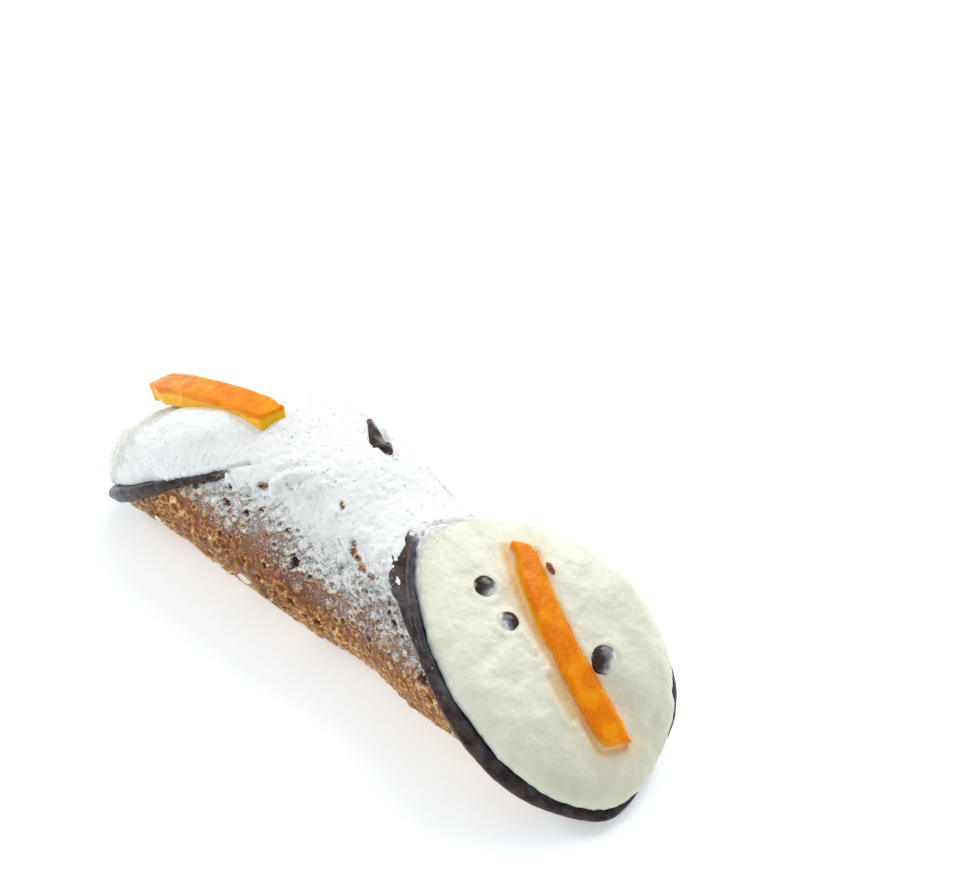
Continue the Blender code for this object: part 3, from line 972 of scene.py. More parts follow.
# %% Creases in the front cream: start and end (down, across), width, depth, all in mm
FRONT_CREASES = (
    ((3.6, -4.7), (12.5, -5.8), 0.9, 0.60),
    ((-7.5, -5.5), (0.5, -9.5), 0.7, 0.14),
    ((-8.0, -3.0), (-3.5, -3.8), 0.8, -0.30),
    ((-8.8, -3.4), (-7.0, -15.5), 1.3, 0.22),
    ((22.6, 9.0), (23.6, -2.5), 1.5, 0.35),
    ((-2.0, 13.0), (14.0, 14.5), 2.2, 0.22),
    ((-20.0, 6.5), (-8.0, 9.0), 1.8, 0.25),
)
BACK_CREASES = (
    ((-4.0, -14.0), (1.0, -17.0), 1.3, 0.4),
    ((2.0, 6.0), (16.0, 9.0), 2.5, 0.3),
    ((14.0, -12.0), (24.0, -8.0), 2.0, 0.3),
)


def from_line(down, across, start, end):
    """Distance of places over an opening from a straight line between two of them."""
    start, end = np.array(start) * MM, np.array(end) * MM
    along = end - start
    share = ((down - start[0]) * along[0] + (across - start[1]) * along[1]) / (along @ along)
    share = np.clip(share, 0.0, 1.0)
    return np.hypot(down - start[0] - share * along[0], across - start[1] - share * along[1])


def crease_depth(end, points, creases):
    """How deep the creases are at each point. Each has a low bank on either side."""
    down, across = down_across(end, points)
    depth = np.zeros(points.shape[:-1])
    for start, stop, width, deep in creases:
        away = from_line(down, across, start, stop)
        banks = bell(away, 2.0 * width * MM, width * MM)
        depth += deep * MM * (bell(away, 0.0, width * MM) - 0.45 * banks)
    return depth


# %% The cream's grid and its soft lumps
inside_turn = np.linspace(0.0, 1.0, CREAM_LINES)[:, None]
inside_x = leaf_stations(inside_turn, 5)[:, 1:-1]
inside_radius = roll_radius(inside_x) - DOUGH - GAP_INSIDE
inside = around(inside_x, leaf_angle(inside_x, inside_turn), inside_radius)
cream_grid = np.concatenate([dome_grid(BACK)[:, ::-1], inside, dome_grid(FRONT)], axis=1)
cream_mesh = make_mesh("ricotta_cream", cream_grid, grid_faces(*cream_grid.shape[:2], True, False))
clean(cream_mesh)
places, normals = read_points(cream_mesh)
place_x = places[:, 0] - roll_at[0]
at_front = place_x > 5.0 * MM
front_creases = crease_depth(FRONT, places, FRONT_CREASES)
creases = np.where(at_front, front_creases, crease_depth(BACK, places, BACK_CREASES))
lumps = bumps(places, (0.42, 9.0, 43), (0.16, 3.2, 44, 3))

# %% What is pressed into the cream
# Each drop has its place and radius in mm, the share that is sunk, the side (down, across) that
# cream was dragged over, and from where the film starts: -1 is the far end of the bare side.
DROPS = (
    {"down": -19.3, "across": -2.3, "radius": 3.1, "sunk": 0.55, "film": (0.95, 0.25), "bare": -0.40},
    {"down": -10.7, "across": -4.1, "radius": 2.8, "sunk": 0.55, "film": (-0.25, -1.0), "bare": -0.35},
    {"down": 6.7, "across": 7.6, "radius": 3.5, "sunk": 0.45, "film": (0.75, 0.65), "bare": -0.42},
)
SPIKE_DOWN, SPIKE_ACROSS, SPIKE, SPIKE_SPREAD = 11.2 * MM, 24.0 * MM, 1.1 * MM, 0.6 * MM
strips = {end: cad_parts["peel_" + end].data for end in ("front", "back")}
from_strip = distance_to(surface_of(*strips.values()), places)
swelling = 0.16 * MM * bell(from_strip, 1.6 * MM, 1.2 * MM) - 0.20 * MM * bell(from_strip, 0.0, 0.8 * MM)
top_of_front = bell(place_x, 17.0 * MM, 7.0 * MM) * smooth(places[:, 2], 30.0 * MM, 38.0 * MM)
swelling += 0.75 * MM * top_of_front * np.abs(rough(places, 2.6 * MM, 47)) * at_front
down, across = down_across(FRONT, places)
for drop in DROPS:
    far = np.hypot(down - drop["down"] * MM, across - drop["across"] * MM) - 0.85 * drop["radius"] * MM
    swelling += 0.30 * MM * bell(far, 0.3 * MM, 0.9 * MM) * at_front
swelling += SPIKE * bell(np.hypot(down - SPIKE_DOWN, across - SPIKE_ACROSS), 0.0, SPIKE_SPREAD) * at_front
write_points(cream_mesh, places + normals * (lumps + swelling - creases)[:, None])

# %% The cream's tints: syrup with a painted orange glow by the peel, a thin edge that the chocolate shows through, and painted shade low on the front dome
along_groove = bell(from_line(down, across, (3.0, -4.6), (12.0, -5.7)), 0.0, 1.0 * MM) * at_front
along_groove *= 0.6 + 0.4 * rough(places, 3.0 * MM, 45)
by_upper_end = bell(np.hypot(down + 17.0 * MM, across + 0.6 * MM), 0.0, 4.0 * MM) * at_front
# Round the strips: syrup and a painted orange glow of light passing through the peel. Along the groove and
# by the upper end: syrup.
syrup_and_glow = 0.55 * bell(from_strip, 0.0, 0.7 * MM) + 0.16 * bell(from_strip, 0.0, 3.2 * MM)
syrup_and_glow += 0.40 * along_groove + 0.35 * by_upper_end * bell(from_strip, 0.0, 1.6 * MM)
from_coat = distance_to(surface_of(*coats.values()), places)
thin = 0.75 * bell(from_coat, 0.0, 0.9 * MM) + 0.22 * bell(from_coat, 0.0, 2.0 * MM)
note(cream_mesh, "syrup_and_glow", np.clip(syrup_and_glow, 0.0, 1.0))
note(cream_mesh, "thin", thin)
# How low each point of the front dome lies, for the painted shade there.
note(cream_mesh, "low", (1.0 - smooth(places[:, 2], 6.0 * MM, 27.0 * MM)) * at_front)

# %% Sugar on the domes: a little at the top of the front one, and most of the back one
front_sugar = 1.0 - smooth(place_x, 16.0 * MM, 26.0 * MM)
back_sugar = 0.12 + 0.88 * smooth(place_x, -66.0 * MM, -47.0 * MM) + 0.35 * bell(from_coat, 0.0, 3.0 * MM)
sugar = np.where(at_front, front_sugar, np.minimum(back_sugar, 1.0))
note(cream_mesh, "sugar", sugar * smooth(places[:, 1], 27.0 * MM, 10.0 * MM))
place("ricotta_cream", cream_mesh, cream_finish(), "ricotta_cream", "filling")

# %% The film of cream on the chocolate
FILM_SHARE = {"front": 1.0, "back": 0.4}
cream_tree = surface_of(cream_mesh)
chocolate = chocolate_finish()
for end_name, coat in coats.items():
    coat_places, _ = read_points(coat)
    gap = distance_to(cream_tree, coat_places)
    patches = smooth(rough(coat_places, 3.0 * MM, 46), 0.15, 0.45)
    film = (0.70 + 0.2 * patches) * bell(gap, 0.0, 0.7 * MM)
    film += (0.12 + 0.30 * patches) * bell(gap, 0.0, 2.4 * MM)
    note(coat, "film", film * FILM_SHARE[end_name])
    place(coat.name, coat, chocolate, "chocolate", "chocolate_" + end_name)

# %% [markdown]
# ## The blanket of powdered sugar
# Along the top the sugar is thick enough to bury the seam between dough, chocolate and cream, as
# snow buries a kerb. Paint alone can't do that, so this is a real layer. Rays are shot at the roll
# from all round to feel what is there; that shape is blurred and raised a little, and where the
# sugar thins out the layer dives under the surface, which leaves a ragged edge.

# %% The finish of the sugar
def sugar_finish():
    """Powdered sugar: white and dull, with soft grain."""
    finish = Finish("powdered_sugar")
    grains = finish.mottle(0.3 * MM, rough_share=0.7)
    clumps = finish.mottle(1.3 * MM)
    white = finish.paint(
        colour(238, 242, 245),
        (grains.step(0.3, 0.62), SUGAR_WHITE),
        (clumps.step(0.62, 0.8) * 0.5, colour(236, 238, 234)),
    )
    return finish.done(white, 0.82 + grains * 0.15, ((clumps, 0.30 * MM), (grains, 0.15 * MM)))


# %% Feeling the shape under the sugar, on a grid of x and angle
BLANKET_X = np.arange(-66.0, 36.0, 0.42)[None, :] * MM
BLANKET_ANGLE = np.arange(-112.0, 76.0, 1.05)[:, None]
FAR_OUT = 40.0 * MM


def felt_radius(tree, x, angle):
    """How far out the surface is, at each x and angle."""
    starts = around(x, angle, FAR_OUT)
    starts[..., 2] = middle_line(x)[..., 2] + FAR_OUT * np.cos(np.radians(angle))
    inwards = (middle_line(x) + roll_at - starts) / FAR_OUT
    radius = np.zeros(starts.shape[:-1])
    for index in np.ndindex(radius.shape):
        distance = tree.ray_cast(Vector(starts[index]), Vector(inwards[index]))[3]
        radius[index] = FAR_OUT - (distance if distance else FAR_OUT)
    return radius


def blurred(values, spread):
    """Each value averaged with its neighbours, both ways."""
    reach = 3 * spread
    weights = np.exp(-0.5 * (np.arange(-reach, reach + 1) / spread) ** 2)
    weights /= weights.sum()
    for axis, padding in enumerate((((reach, reach), (0, 0)), ((0, 0), (reach, reach)))):
        padded = np.pad(values, padding, "edge")
        values = np.apply_along_axis(np.convolve, axis, padded, weights, mode="valid")
    return values


def closed(values, reach):
    """Fills hollows narrower than that many cells, and leaves the rest as it was."""
    for sign in (1.0, -1.0):
        values = sign * values
        for axis in (0, 1):
            values = np.max([np.roll(values, shift, axis) for shift in range(-reach, reach + 1)], axis=0)
        values = sign * values
    return values


under_tree = surface_of(shell.data, cream_mesh, *coats.values())
felt = felt_radius(under_tree, BLANKET_X, BLANKET_ANGLE)
print("the felt radius runs from", (felt.min() / MM).round(1), "to", (felt.max() / MM).round(1), "mm")

# %% Where the blanket is thick
def blanket_cover(x, angle, points):
    """1 where the blanket lies, 0 where it has given out."""
    near_side = smooth(angle, 30.0, 42.0)
    past_rim = rim_x(BACK, angle) - x
    on_roll = sugar_at(x, angle) - 1.4 * smooth(-x, 30.0 * MM, 41.0 * MM) * near_side
    on_dome = 1.12 * smooth(x, -66.0 * MM, -47.0 * MM) - 1.4 * bell(past_rim, 0.0, 1.3 * MM) * near_side
    crumbly = 0.30 * rough(points, 0.9 * MM, 58) * smooth(-x, 42.0 * MM, 54.0 * MM)
    on_dome = on_dome * (1.0 - bare_at(x, angle)) + crumbly
    uneven = 0.16 * rough(points, 3.5 * MM, 51) + 0.16 * rough(points, 1.2 * MM, 52)
    cover = mixed(on_roll, on_dome, smooth(past_rim, 0.0, 1.5 * MM)) + uneven
    front_edge = rim_x(FRONT, angle) + 1.6 * MM - 1.2 * MM * smooth(angle, 2.0, 14.0)
    front_edge = front_edge + 1.6 * MM * rough(points, 2.0 * MM, 55)
    cover -= 1.6 * smooth(x, front_edge - 2.0 * MM, front_edge + 2.6 * MM)
    return smooth(cover, 0.66, 0.96)


# %% A fold of cream that stands up under the sugar
FOLD_START, FOLD_END = (-14.0, 40.5), (-7.4, 17.5)


def fold_height(x, angle):
    """A low roll along a line, with a crease on either side and a fainter one beside it."""
    share, beside = over_roll(x, angle, FOLD_START, FOLD_END)
    beside = beside + 0.6 * MM * np.sin(share * 4.0)
    crest = bell(beside, 0.0, 1.15 * MM)
    creases = bell(beside, -1.7 * MM, 0.55 * MM) + 0.8 * bell(beside, 1.75 * MM, 0.6 * MM)
    second = bell(beside, -3.2 * MM, 1.1 * MM) * smooth(share, 0.0, 0.3)
    ends = smooth(share, -0.06, 0.06) * (1.0 - smooth(share, 0.6, 1.05))
    return (1.0 * MM * crest - 0.50 * MM * creases + 0.35 * MM * second) * ends


# %% How the blanket fills the steps under it
bare = around(BLANKET_X, BLANKET_ANGLE, felt)
cover = blanket_cover(BLANKET_X, BLANKET_ANGLE, bare)
near_rim = smooth(bell(from_rims(BLANKET_X, BLANKET_ANGLE), 0.0, 9.0 * MM), 0.1, 0.6)
loose = np.maximum(felt, blurred(felt, 2))
packed = np.maximum(blurred(closed(felt, 9), 5), blurred(felt, 1))
filled = mixed(felt, mixed(loose, packed, near_rim), cover)

# %% The blanket
past_front = BLANKET_X - rim_x(FRONT, BLANKET_ANGLE)
at_tip = smooth(-BLANKET_X, 44.0 * MM, 56.0 * MM) + smooth(past_front, -3.0 * MM, 1.5 * MM)
depth = 0.26 * MM + 0.10 * MM * rough(bare, 3.0 * MM, 53) + 0.17 * MM * rough(bare, 1.0 * MM, 54, 3)
depth += 0.6 * MM * bell(past_front, 0.0, 4.0 * MM) * np.abs(rough(bare, 2.2 * MM, 56))
depth = np.maximum(depth, 0.12 * MM) * (1.0 - 0.7 * at_tip) + fold_height(BLANKET_X, BLANKET_ANGLE)
dive = -0.45 * MM + 0.30 * MM * at_tip
laid = around(BLANKET_X, BLANKET_ANGLE, filled + mixed(dive, depth, cover))
faces = grid_faces(*laid.shape[:2], False, False)
mesh = make_mesh("sugar_blanket", laid, faces[cover.ravel()[faces].max(axis=1) > 0.02])
clean(mesh)
blanket = place("sugar_blanket", mesh, sugar_finish(), None)
thickness = blanket.modifiers.new("thickness", "SOLIDIFY")
thickness.thickness = 0.5 * MM
thickness.offset = -1.0

# %% [markdown]
# ## A bare stretch of chocolate
# On the far side of the back rim the sugar was knocked off, and a dark stretch of the coat shows.
# The blanket is left open there. A coat that lay deep in the gap would stay in shadow, so a low
# ridge of chocolate, pointed at both ends, is laid on the shape that the rays felt.

# %% The bare stretch
BARE_START, BARE_END = (-2.6, -22.0), (-16.6, -44.4)
BARE_WIDTH, BARE_RISE, BARE_UNDER = 2.3 * MM, 1.1 * MM, 0.6 * MM


def bare_stretch():
    """Points of a low ridge along a line on the roll, its top and then its underside."""
    share = np.linspace(0.0, 1.0, 70)[:, None]
    beside = np.linspace(-1.0, 1.0, 24)[None, :]
    first, along, length = roll_line(BARE_START, BARE_END)
    width = BARE_WIDTH * np.sin(np.pi * share**0.6) ** 0.7 + 0.02 * MM
    x = first[0] + share * length * along[0] - beside * width * along[1]
    angle = (first[1] + share * length * along[1] + beside * width * along[0]) / ROUND_DEGREE
    radius = closed(felt_radius(under_tree, x, angle), 5)
    lumps = 0.2 * MM * rough(around(x, angle, radius), 2.5 * MM, 57)
    arch = np.sqrt(np.maximum(1.0 - beside**2, 0.0)) * smooth(np.minimum(share, 1.0 - share), 0.0, 0.12)
    top = around(x, angle, radius + (arch * (BARE_RISE + lumps) - 0.15 * MM))
    return np.concatenate([top, around(x, angle, radius - BARE_UNDER)[:, ::-1]], axis=1)


stretch = bare_stretch()
mesh = make_mesh("chocolate_far_lip", stretch, grid_faces(*stretch.shape[:2], False, True))
clean(mesh)
note(mesh, "film", np.zeros(len(mesh.vertices)))
note(mesh, "sugar", np.full(len(mesh.vertices), 0.06))
place("chocolate_far_lip", mesh, chocolate, "chocolate")

# %% [markdown]
# ## The strips of candied peel
# Each strip was cut from candied orange peel with a knife: a bumpy, shiny orange zest over yellow
# pith, with sides that aren't quite straight. A subdivided box would keep its even corners. The
# plain solid is instead remeshed into small even faces, softened, and every point is moved by
# noise, more on the cut sides than on top. How deep a point lies below the zest tells the finish
# where the pith begins.

# %% The finish of the peel
def peel_finish():
    """Candied peel: glossy and see-through orange, yellow where the pith shows."""
    finish = Finish("candied_peel")
    fine = finish.mottle(0.9 * MM, detail=4.0)
    dimples = 1.0 - finish.cells(1.0 * MM, shake=0.5).step(0.12, 0.34)
    zest = finish.paint(
        colour(234, 126, 1),
        (finish.mottle(5.0 * MM).step(0.36, 0.66), colour(246, 154, 3)),
        (fine.step(0.56, 0.72) * 0.4, colour(254, 176, 50)),
        (dimples * 0.14, colour(250, 186, 96)),
    )
    pith = finish.paint(colour(252, 176, 4), (fine, colour(255, 200, 40)))
    base = finish.paint(zest, (finish.noted("pith"), pith))
    reliefs = ((finish.mottle(2.6 * MM, detail=4.0), 0.18 * MM), (fine, 0.08 * MM), (dimples, -0.04 * MM))
    light_inside = {
        "Specular IOR Level": 0.14,
        "Subsurface Weight": 0.3,
        "Subsurface Radius": (1.0, 0.45, 0.10),
        "Subsurface Scale": 1.5 * MM,
    }
    return dust(finish, base, 0.12 + fine * 0.28, reliefs, light_inside)


# %% Fine meshes from plain solids
def fine_copy(source, name, size, soften):
    """A copy of a mesh in small even faces, with its edges softened."""
    helper = put("helper", source.copy())
    even = helper.modifiers.new("even", "REMESH")
    even.mode = "VOXEL"
    even.voxel_size = size
    soft = helper.modifiers.new("soft", "SMOOTH")
    soft.iterations = soften
    graph = bpy.context.evaluated_depsgraph_get()
    mesh = bpy.data.meshes.new_from_object(helper.evaluated_get(graph))
    bpy.data.objects.remove(helper)
    mesh.name = name
    mesh.shade_smooth()
    return mesh


def depth_below(tree, points, normals, upwards):
    """How deep each point lies below the top of a solid, on the way given."""
    depth = np.zeros(len(points))
    for index, (point, normal) in enumerate(zip(points.tolist(), normals.tolist())):
        start = Vector(point) - Vector(normal) * 0.25 * MM
        depth[index] = tree.ray_cast(start, upwards)[3] or 0.0
    return depth


# %% The two strips: place, shape and pith in mm, and how each differs from its solid
PEEL_VOXEL = 0.30 * MM
STRIPS = {
    "front": {
        "end": FRONT, "down": 0.4, "across": 3.6, "slope": -0.209, "bow": -2.9, "half": 22.0,
        "pith": (1.4, 2.2), "lift": 0.85, "aside": 1.1, "wider": 0.08, "bevel": 1.0, "sugar": 0.0,
    },
    "back": {
        "end": BACK, "down": -6.2, "across": -4.6, "slope": 0.061, "bow": 0.0, "half": 20.0,
        "pith": (0.9, 1.6), "lift": 0.4, "aside": 0.0, "wider": 0.06, "bevel": 0.0, "sugar": 0.05,
    },
}


def beside_strip(strip, points):
    """Distance of points from a strip's middle line, across the opening."""
    down, across = down_across(strip["end"], points)
    from_middle = down - strip["down"] * MM
    bow = strip["bow"] * MM * (1.0 - (from_middle / (strip["half"] * MM)) ** 2)
    return across - strip["across"] * MM - strip["slope"] * from_middle - bow


def strip_move(strip, points, normals, outward):
    """How far each point of a strip moves: cut by hand, lifted, widened, its corners rounded."""
    beside = beside_strip(strip, points)
    sideways = 1.0 - np.abs(normals @ outward) ** 2
    cut_waves = bumps(points, (0.26, 5.0, 61), (0.12, 1.7, 62)) * sideways
    zest_waves = bumps(points, (0.12, 3.2, 63), (0.04, 0.9, 64)) * (1.0 - 0.5 * sideways)
    rise = strip["lift"] * MM - strip["bevel"] * MM * smooth(beside, 1.3 * MM, 3.4 * MM)
    move = normals * (cut_waves + zest_waves)[:, None] + outward * rise[:, None]
    past_low = down_across(strip["end"], points)[0] - (strip["down"] + strip["half"]) * MM
    past_end = np.maximum(past_low, -past_low - 2.0 * strip["half"] * MM)
    corner = bell(past_end, 0.0, 2.2 * MM) * smooth(np.abs(beside), 1.2 * MM, 3.2 * MM)
    move[:, 1] += strip["wider"] * beside + strip["aside"] * MM - 1.1 * MM * corner * np.sign(beside)
    return move


peel = peel_finish()
for end_name, strip in STRIPS.items():
    mesh = fine_copy(strips[end_name], "peel_" + end_name + "_strip", PEEL_VOXEL, 2)
    points, normals = read_points(mesh)
    outward = opening(strip["end"])[2]
    write_points(mesh, points + strip_move(strip, points, normals, outward))
    deep = depth_below(surface_of(strips[end_name]), points, normals, Vector(outward))
    pith_from, pith_to = strip["pith"]
    note(mesh, "pith", smooth(deep + bumps(points, (0.35, 2.0, 65)), pith_from * MM, pith_to * MM))
    note(mesh, "sugar", np.full(len(points), strip["sugar"]))
    place(mesh.name, mesh, peel, "candied_peel", "peel_" + end_name)

# %% [markdown]
# ## Chocolate drops
# Three drops of chocolate were stirred into the cream and show at its surface, half sunk, with a
# milky film where the spatula dragged cream over them. Each starts as a ball of small triangles,
# is flattened and roughened, and is set where a ray shot down at the cream lands.

# %% The finish of the drops
def drop_finish():
    """Dark chocolate drops: glossy, milky where a film of cream covers them."""
    finish = Finish("chocolate_drops")
    streaks = finish.mottle(0.7 * MM, detail=4.0)
    smear = (finish.noted("film") * (streaks + 0.45)).limited()
    base = finish.paint(
        colour(34, 18, 14),
        (streaks.step(0.35, 0.7), colour(66, 44, 38)),
        (smear.step(0.05, 0.50), colour(112, 116, 124)),
        (smear.step(0.45, 0.95), colour(222, 225, 214)),
    )
    return finish.done(base, 0.16 + smear * 0.35, ((finish.mottle(1.2 * MM), 0.12 * MM),))


# %% Balls, and places on the cream
def ball(detail):
    """Points and triangles of a ball of radius 1."""
    work = bmesh.new()
    bmesh.ops.create_icosphere(work, subdivisions=detail, radius=1.0)
    points = np.array([vertex.co[:] for vertex in work.verts])
    faces = np.array([[vertex.index for vertex in face.verts] for face in work.faces])
    work.free()
    return points, faces


def copies(faces, points_each, count):
    """The faces of that many copies of a shape, one after another."""
    return (faces + points_each * np.arange(count)[:, None, None]).reshape(-1, 3)


def on_cream(down, across):
    """Where a place over the front opening meets the cream, and the three ways from there."""
    middle, slope, outward = opening(FRONT)
    start = middle + slope * down + np.array([0.0, across, 0.0]) + outward * 0.04
    hit = np.array(cream_tree.ray_cast(Vector(start), Vector(-outward))[0])
    return hit, np.stack([slope, (0.0, 1.0, 0.0), outward])


# %% The three drops
DROP_HEIGHT = 0.72
unit, unit_faces = ball(5)
drop_points, drop_film = [], []
for number, drop in enumerate(DROPS):
    hit, ways = on_cream(drop["down"] * MM, drop["across"] * MM)
    radius = drop["radius"] * MM
    shaped = unit * (1.0 + 0.06 * rough(unit, 0.9, 71 + number))[:, None]
    points = hit + (shaped * (1.0, 1.0, DROP_HEIGHT)) @ ways * radius
    drop_points.append(points - ways[2] * radius * drop["sunk"] * DROP_HEIGHT)
    heading = np.array([*drop["film"], 0.0])
    milky = unit @ (heading / np.linalg.norm(heading)) + 0.22 * rough(unit, 0.7, 75 + number)
    drop_film.append(smooth(milky, drop["bare"], drop["bare"] + 1.0))
drop_faces = copies(unit_faces, len(unit), len(DROPS))
mesh = make_mesh("chocolate_drops", np.concatenate(drop_points), drop_faces)
note(mesh, "film", np.concatenate(drop_film))
place("chocolate_drops", mesh, drop_finish(), "chocolate")

# %% [markdown]
# ## A fleck of dark caramel
# A small red-brown bit of burnt sugar sticks out between the front strip and the cream. It is a
# ball again, squashed and roughened until it looks like a chip.

# %% The fleck
def fleck_finish():
    """Burnt sugar: dark red-brown and shiny."""
    finish = Finish("caramel_fleck")
    streaks = finish.mottle(0.5 * MM, detail=4.0)
    base = finish.paint(colour(92, 28, 12), (streaks.step(0.35, 0.65), colour(168, 84, 36)))
    return finish.done(base, 0.15 + streaks * 0.3, ((streaks, 0.15 * MM),))


FLECK_DOWN, FLECK_ACROSS, FLECK_OUT = -14.7 * MM, 10.0 * MM, 0.1 * MM
FLECK_SIZE = (1.5, 0.62, 0.55)
unit, unit_faces = ball(4)
hit, ways = on_cream(FLECK_DOWN, FLECK_ACROSS)
shaped = unit * (1.0 + 0.35 * rough(unit, 0.8, 81, 3))[:, None] * FLECK_SIZE * MM
mesh = make_mesh("caramel_fleck", hit + shaped @ ways + ways[2] * FLECK_OUT, unit_faces)
place("caramel_fleck", mesh, fleck_finish(), "candied_peel")

# %% [markdown]
# ## Loose grains of sugar
# At the edge of the dusting single grains and small clumps sit on the crust, the chocolate and the
# back cream. A particle system could scatter them, but an export leaves particles out. So each is
# eight small triangles of its own, and numpy makes them all in one mesh.

# %% Many small lumps as one mesh
TIPS = np.array([[1, 0, 0], [-1, 0, 0], [0, 1, 0], [0, -1, 0], [0, 0, 1], [0, 0, -1]], dtype=float)
SIDES = np.array([[0, 2, 4], [2, 1, 4], [1, 3, 4], [3, 0, 4], [2, 0, 5], [1, 2, 5], [3, 1, 5], [0, 3, 5]])


def grain_mesh(name, middles, sizes):
    """A mesh of one lump at each middle, each turned and dented its own way."""
    turns, _ = np.linalg.qr(chance.standard_normal((len(middles), 3, 3)))
    dents = 1.0 + 0.3 * chance.standard_normal((len(middles), 6, 1))
    lumps = TIPS[None] * np.clip(dents, 0.5, 1.6) @ turns * sizes[:, None, None]
    return make_mesh(name, middles[:, None, :] + lumps, copies(SIDES, len(TIPS), len(middles)))


def scatter(mesh, weights, sizes):
    """A place just over a mesh's surface for each size, picked by the weights of its points."""
    places, normals = read_points(mesh)
    picked = chance.choice(len(places), len(sizes), p=weights / weights.sum())
    jitter = chance.normal(0.0, 0.12 * MM, (len(sizes), 3))
    return places[picked] + normals[picked] * sizes[:, None] * 0.25 + jitter * 0.6


def grain_sizes(count, middle, most):
    """Radii of grains: many small, a few large."""
    return np.clip(middle * np.exp(0.45 * chance.standard_normal(count)), 0.4 * middle, most)


def read_note(mesh, name):
    """The numbers noted on a mesh."""
    values = np.zeros(len(mesh.vertices))
    mesh.attributes[name].data.foreach_get("value", values)
    return values


# %% Where grains lie on the shell and the coats
lies = read_note(shell.data, "sugar")
facing_up = smooth(read_points(shell.data)[1][:, 2], -0.25, 0.5)
area = on_whole_grid(cell_area(outside), 0.0).ravel()
on_shell = (bell(lies, 0.45, 0.35) * smooth(lies, 0.01, 0.2) + 0.03 * facing_up) * area
on_coats = {end: 0.003 + bell(read_note(coat, "sugar"), 0.3, 0.2) for end, coat in coats.items()}

# %% The grains: on which mesh, how likely where, how many, their usual and largest radius in mm
GRAINS = (
    (shell.data, on_shell, 12000, 0.080, 0.22),
    (shell.data, on_shell * smooth(lies, 0.1, 0.4), 400, 0.22, 0.48),
    (coats["front"], on_coats["front"], 260, 0.065, 0.15),
    (coats["back"], on_coats["back"], 160, 0.065, 0.15),
    (blanket.data, np.ones(len(blanket.data.vertices)), 3000, 0.11, 0.32),
)
middles, sizes = [], []
for under, weights, count, usual, most in GRAINS:
    sizes.append(grain_sizes(count, usual * MM, most * MM))
    middles.append(scatter(under, weights, sizes[-1]))
mesh = grain_mesh("sugar_grains", np.concatenate(middles), np.concatenate(sizes))
place("sugar_grains", mesh, sugar_finish(), None)

# %% [markdown]
# ## Flakes and crumbs
# Frying lifts thin pale flakes off the dough, and a few crumbs stick to the chocolate. Each is a
# small ball, flattened, roughened and set on the roll at its own place and tilt.

# %% The finish of the flakes
def flake_finish():
    """Dry flakes of dough: pale and matt."""
    finish = Finish("dough_flakes")
    fine = finish.mottle(0.6 * MM)
    tan = finish.paint(colour(206, 158, 96), (fine, colour(232, 196, 140)))
    pale = finish.paint(colour(226, 222, 208), (fine, colour(244, 242, 232)))
    base = finish.paint(tan, (finish.noted("pale"), pale))
    return finish.done(base, 0.45 + fine * 0.3, ((fine, 0.08 * MM),))


# %% Flakes: x, angle, half sizes along, round and out in mm, tilt, how pale
FLAKES = (
    (-16.5, 106.0, (1.9, 0.9, 0.16), 38.0, 1.0),
    (-45.0, 111.0, (1.2, 0.7, 0.16), 30.0, 1.0),
    (59.0, 93.0, (0.42, 0.42, 0.36), 0.0, 0.0),
    (57.0, 97.0, (0.28, 0.34, 0.26), 0.0, 0.1),
    (25.0, 104.0, (0.45, 0.3, 0.3), 0.0, 0.0),
    (53.5, 92.0, (0.75, 0.5, 0.30), 0.0, 1.0),
    (51.5, 90.0, (0.40, 0.35, 0.25), 0.0, 1.0),
)
roll_tree = surface_of(shell.data, *coats.values())


def flake_ways(angle, tilt):
    """The three ways of a flake: along the roll, across the flake, and through it."""
    theta, lean = math.radians(angle), math.radians(tilt)
    out_way = np.array([0.0, -math.sin(theta), math.cos(theta)])
    round_way = np.array([0.0, -math.cos(theta), -math.sin(theta)])
    wide_way = round_way * math.cos(lean) + out_way * math.sin(lean)
    thin_way = out_way * math.cos(lean) - round_way * math.sin(lean)
    return np.stack([(1.0, 0.0, 0.0), wide_way, thin_way])


flake_points = []
for number, (x, angle, size, tilt, _) in enumerate(FLAKES):
    radius = felt_radius(roll_tree, np.array([[x * MM]]), np.array([[angle]]))[0, 0]
    ways = flake_ways(angle, tilt)
    shaped = unit * (1.0 + 0.30 * rough(unit, 0.8, 91 + number, 3))[:, None] * (np.array(size) * MM)
    raised_by = 0.5 * size[1] * MM * math.sin(math.radians(tilt))
    flake_points.append(around(x * MM, angle, radius) + shaped @ ways + ways[1] * raised_by)
flake_faces = copies(unit_faces, len(unit), len(FLAKES))
mesh = make_mesh("dough_flakes", np.concatenate(flake_points), flake_faces)
note(mesh, "pale", np.repeat([flake[-1] for flake in FLAKES], len(unit)))
place("dough_flakes", mesh, flake_finish(), "fried_dough")

# %% [markdown]
# ## Floor, light and camera
# The pastry lies on a plain white table. A large soft light hangs above and behind it, and a
# smaller one on the left lifts the dark side. The lamps could be small and hard, but wide ones
# keep the shadows soft, as a window does. The table glows a little, like a lit tabletop, so that
# what shadow there is stays pale.

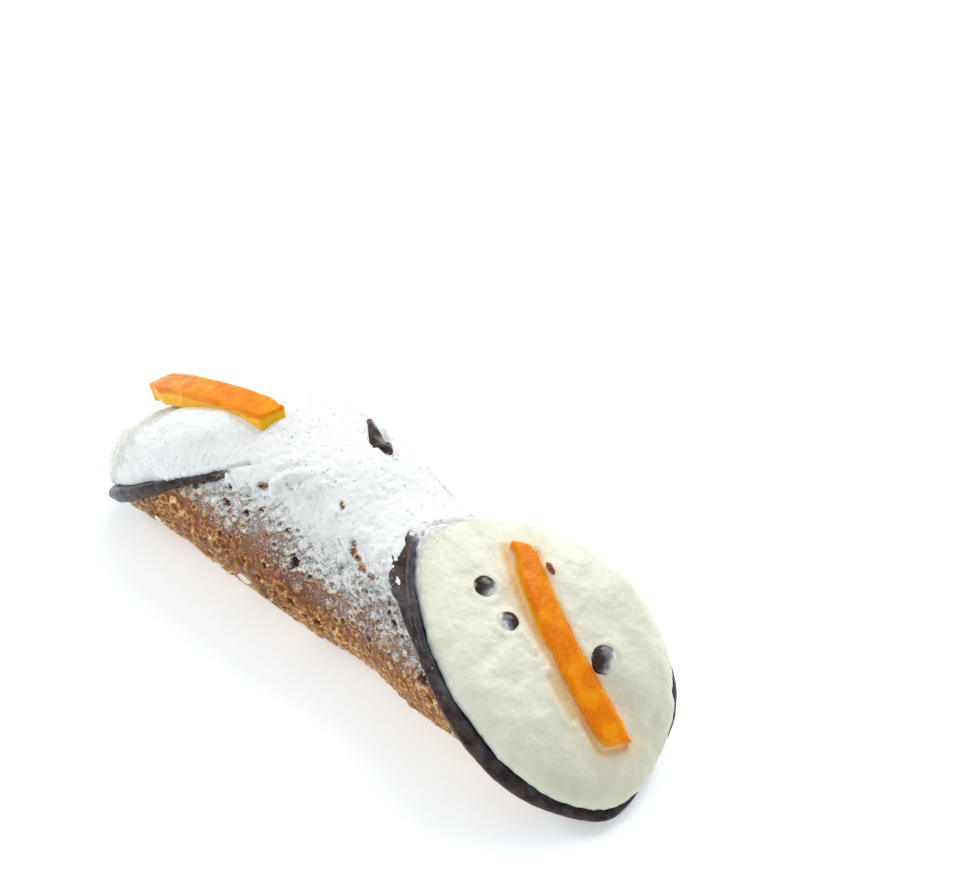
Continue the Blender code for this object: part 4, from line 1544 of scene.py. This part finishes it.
# %% The floor
FLOOR_COLOUR, FLOOR_GLOW, FLOOR_RADIUS = (0.80, 0.91, 0.97, 1.0), 0.42, 4.0
WHITE = (1.0, 1.0, 1.0, 1.0)
floor_mesh = bpy.data.meshes.new("floor")
work = bmesh.new()
bmesh.ops.create_circle(work, cap_ends=True, segments=96, radius=FLOOR_RADIUS)
work.to_mesh(floor_mesh)
work.free()
glow = {"Emission Color": WHITE, "Emission Strength": FLOOR_GLOW}
floor_mesh.materials.append(Finish("pale_floor").done(FLOOR_COLOUR, 0.9, others=glow))
put("floor", floor_mesh)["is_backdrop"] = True


# %% The lights
LIGHT_DISTANCE, WORLD_LIGHT = 0.9, 0.50


def aim(body, outwards):
    """Turns a light or a camera so that it looks back along a direction."""
    body.rotation_euler = outwards.to_track_quat("Z", "Y").to_euler()


def add_softbox(name, direction, size, watts):
    """A square light that looks at the pastry."""
    lamp = bpy.data.lights.new(name, "AREA")
    lamp.size = size
    lamp.energy = watts
    body = put(name, lamp)
    body.location = Vector(direction).normalized() * LIGHT_DISTANCE
    aim(body, body.location)


add_softbox("softbox_above", (-0.10, 0.60, 0.85), 0.60, 5.2)
add_softbox("softbox_left", (-0.75, -0.58, 0.75), 0.30, 2.3)
world = bpy.data.worlds.new("studio")
world.use_nodes = True
background = world.node_tree.nodes["Background"].inputs
background["Color"].default_value = WHITE
background["Strength"].default_value = WORLD_LIGHT
bpy.context.scene.world = world
bpy.context.scene.view_settings.view_transform = "Standard"

# %% The camera
AIM = Vector((0.0017, 0.0278, 0.0375))
CAMERA_AZIMUTH, CAMERA_ELEVATION, CAMERA_DISTANCE = 44.9, 42.0, 0.684
azimuth, elevation = math.radians(CAMERA_AZIMUTH), math.radians(CAMERA_ELEVATION)
level = math.cos(elevation)
away = Vector((math.sin(azimuth) * level, -math.cos(azimuth) * level, math.sin(elevation)))
lens = bpy.data.cameras.new("camera")
lens.lens = 120.0
lens.clip_start = 0.05
camera = put("camera", lens)
camera.location = AIM + away * CAMERA_DISTANCE
aim(camera, away)
bpy.context.scene.camera = camera

# %% Sizes, and the end
sizes = {
    "cad": [list(corner) for corner in cad_bounds],
    "visual": [list(corner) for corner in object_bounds()],
}
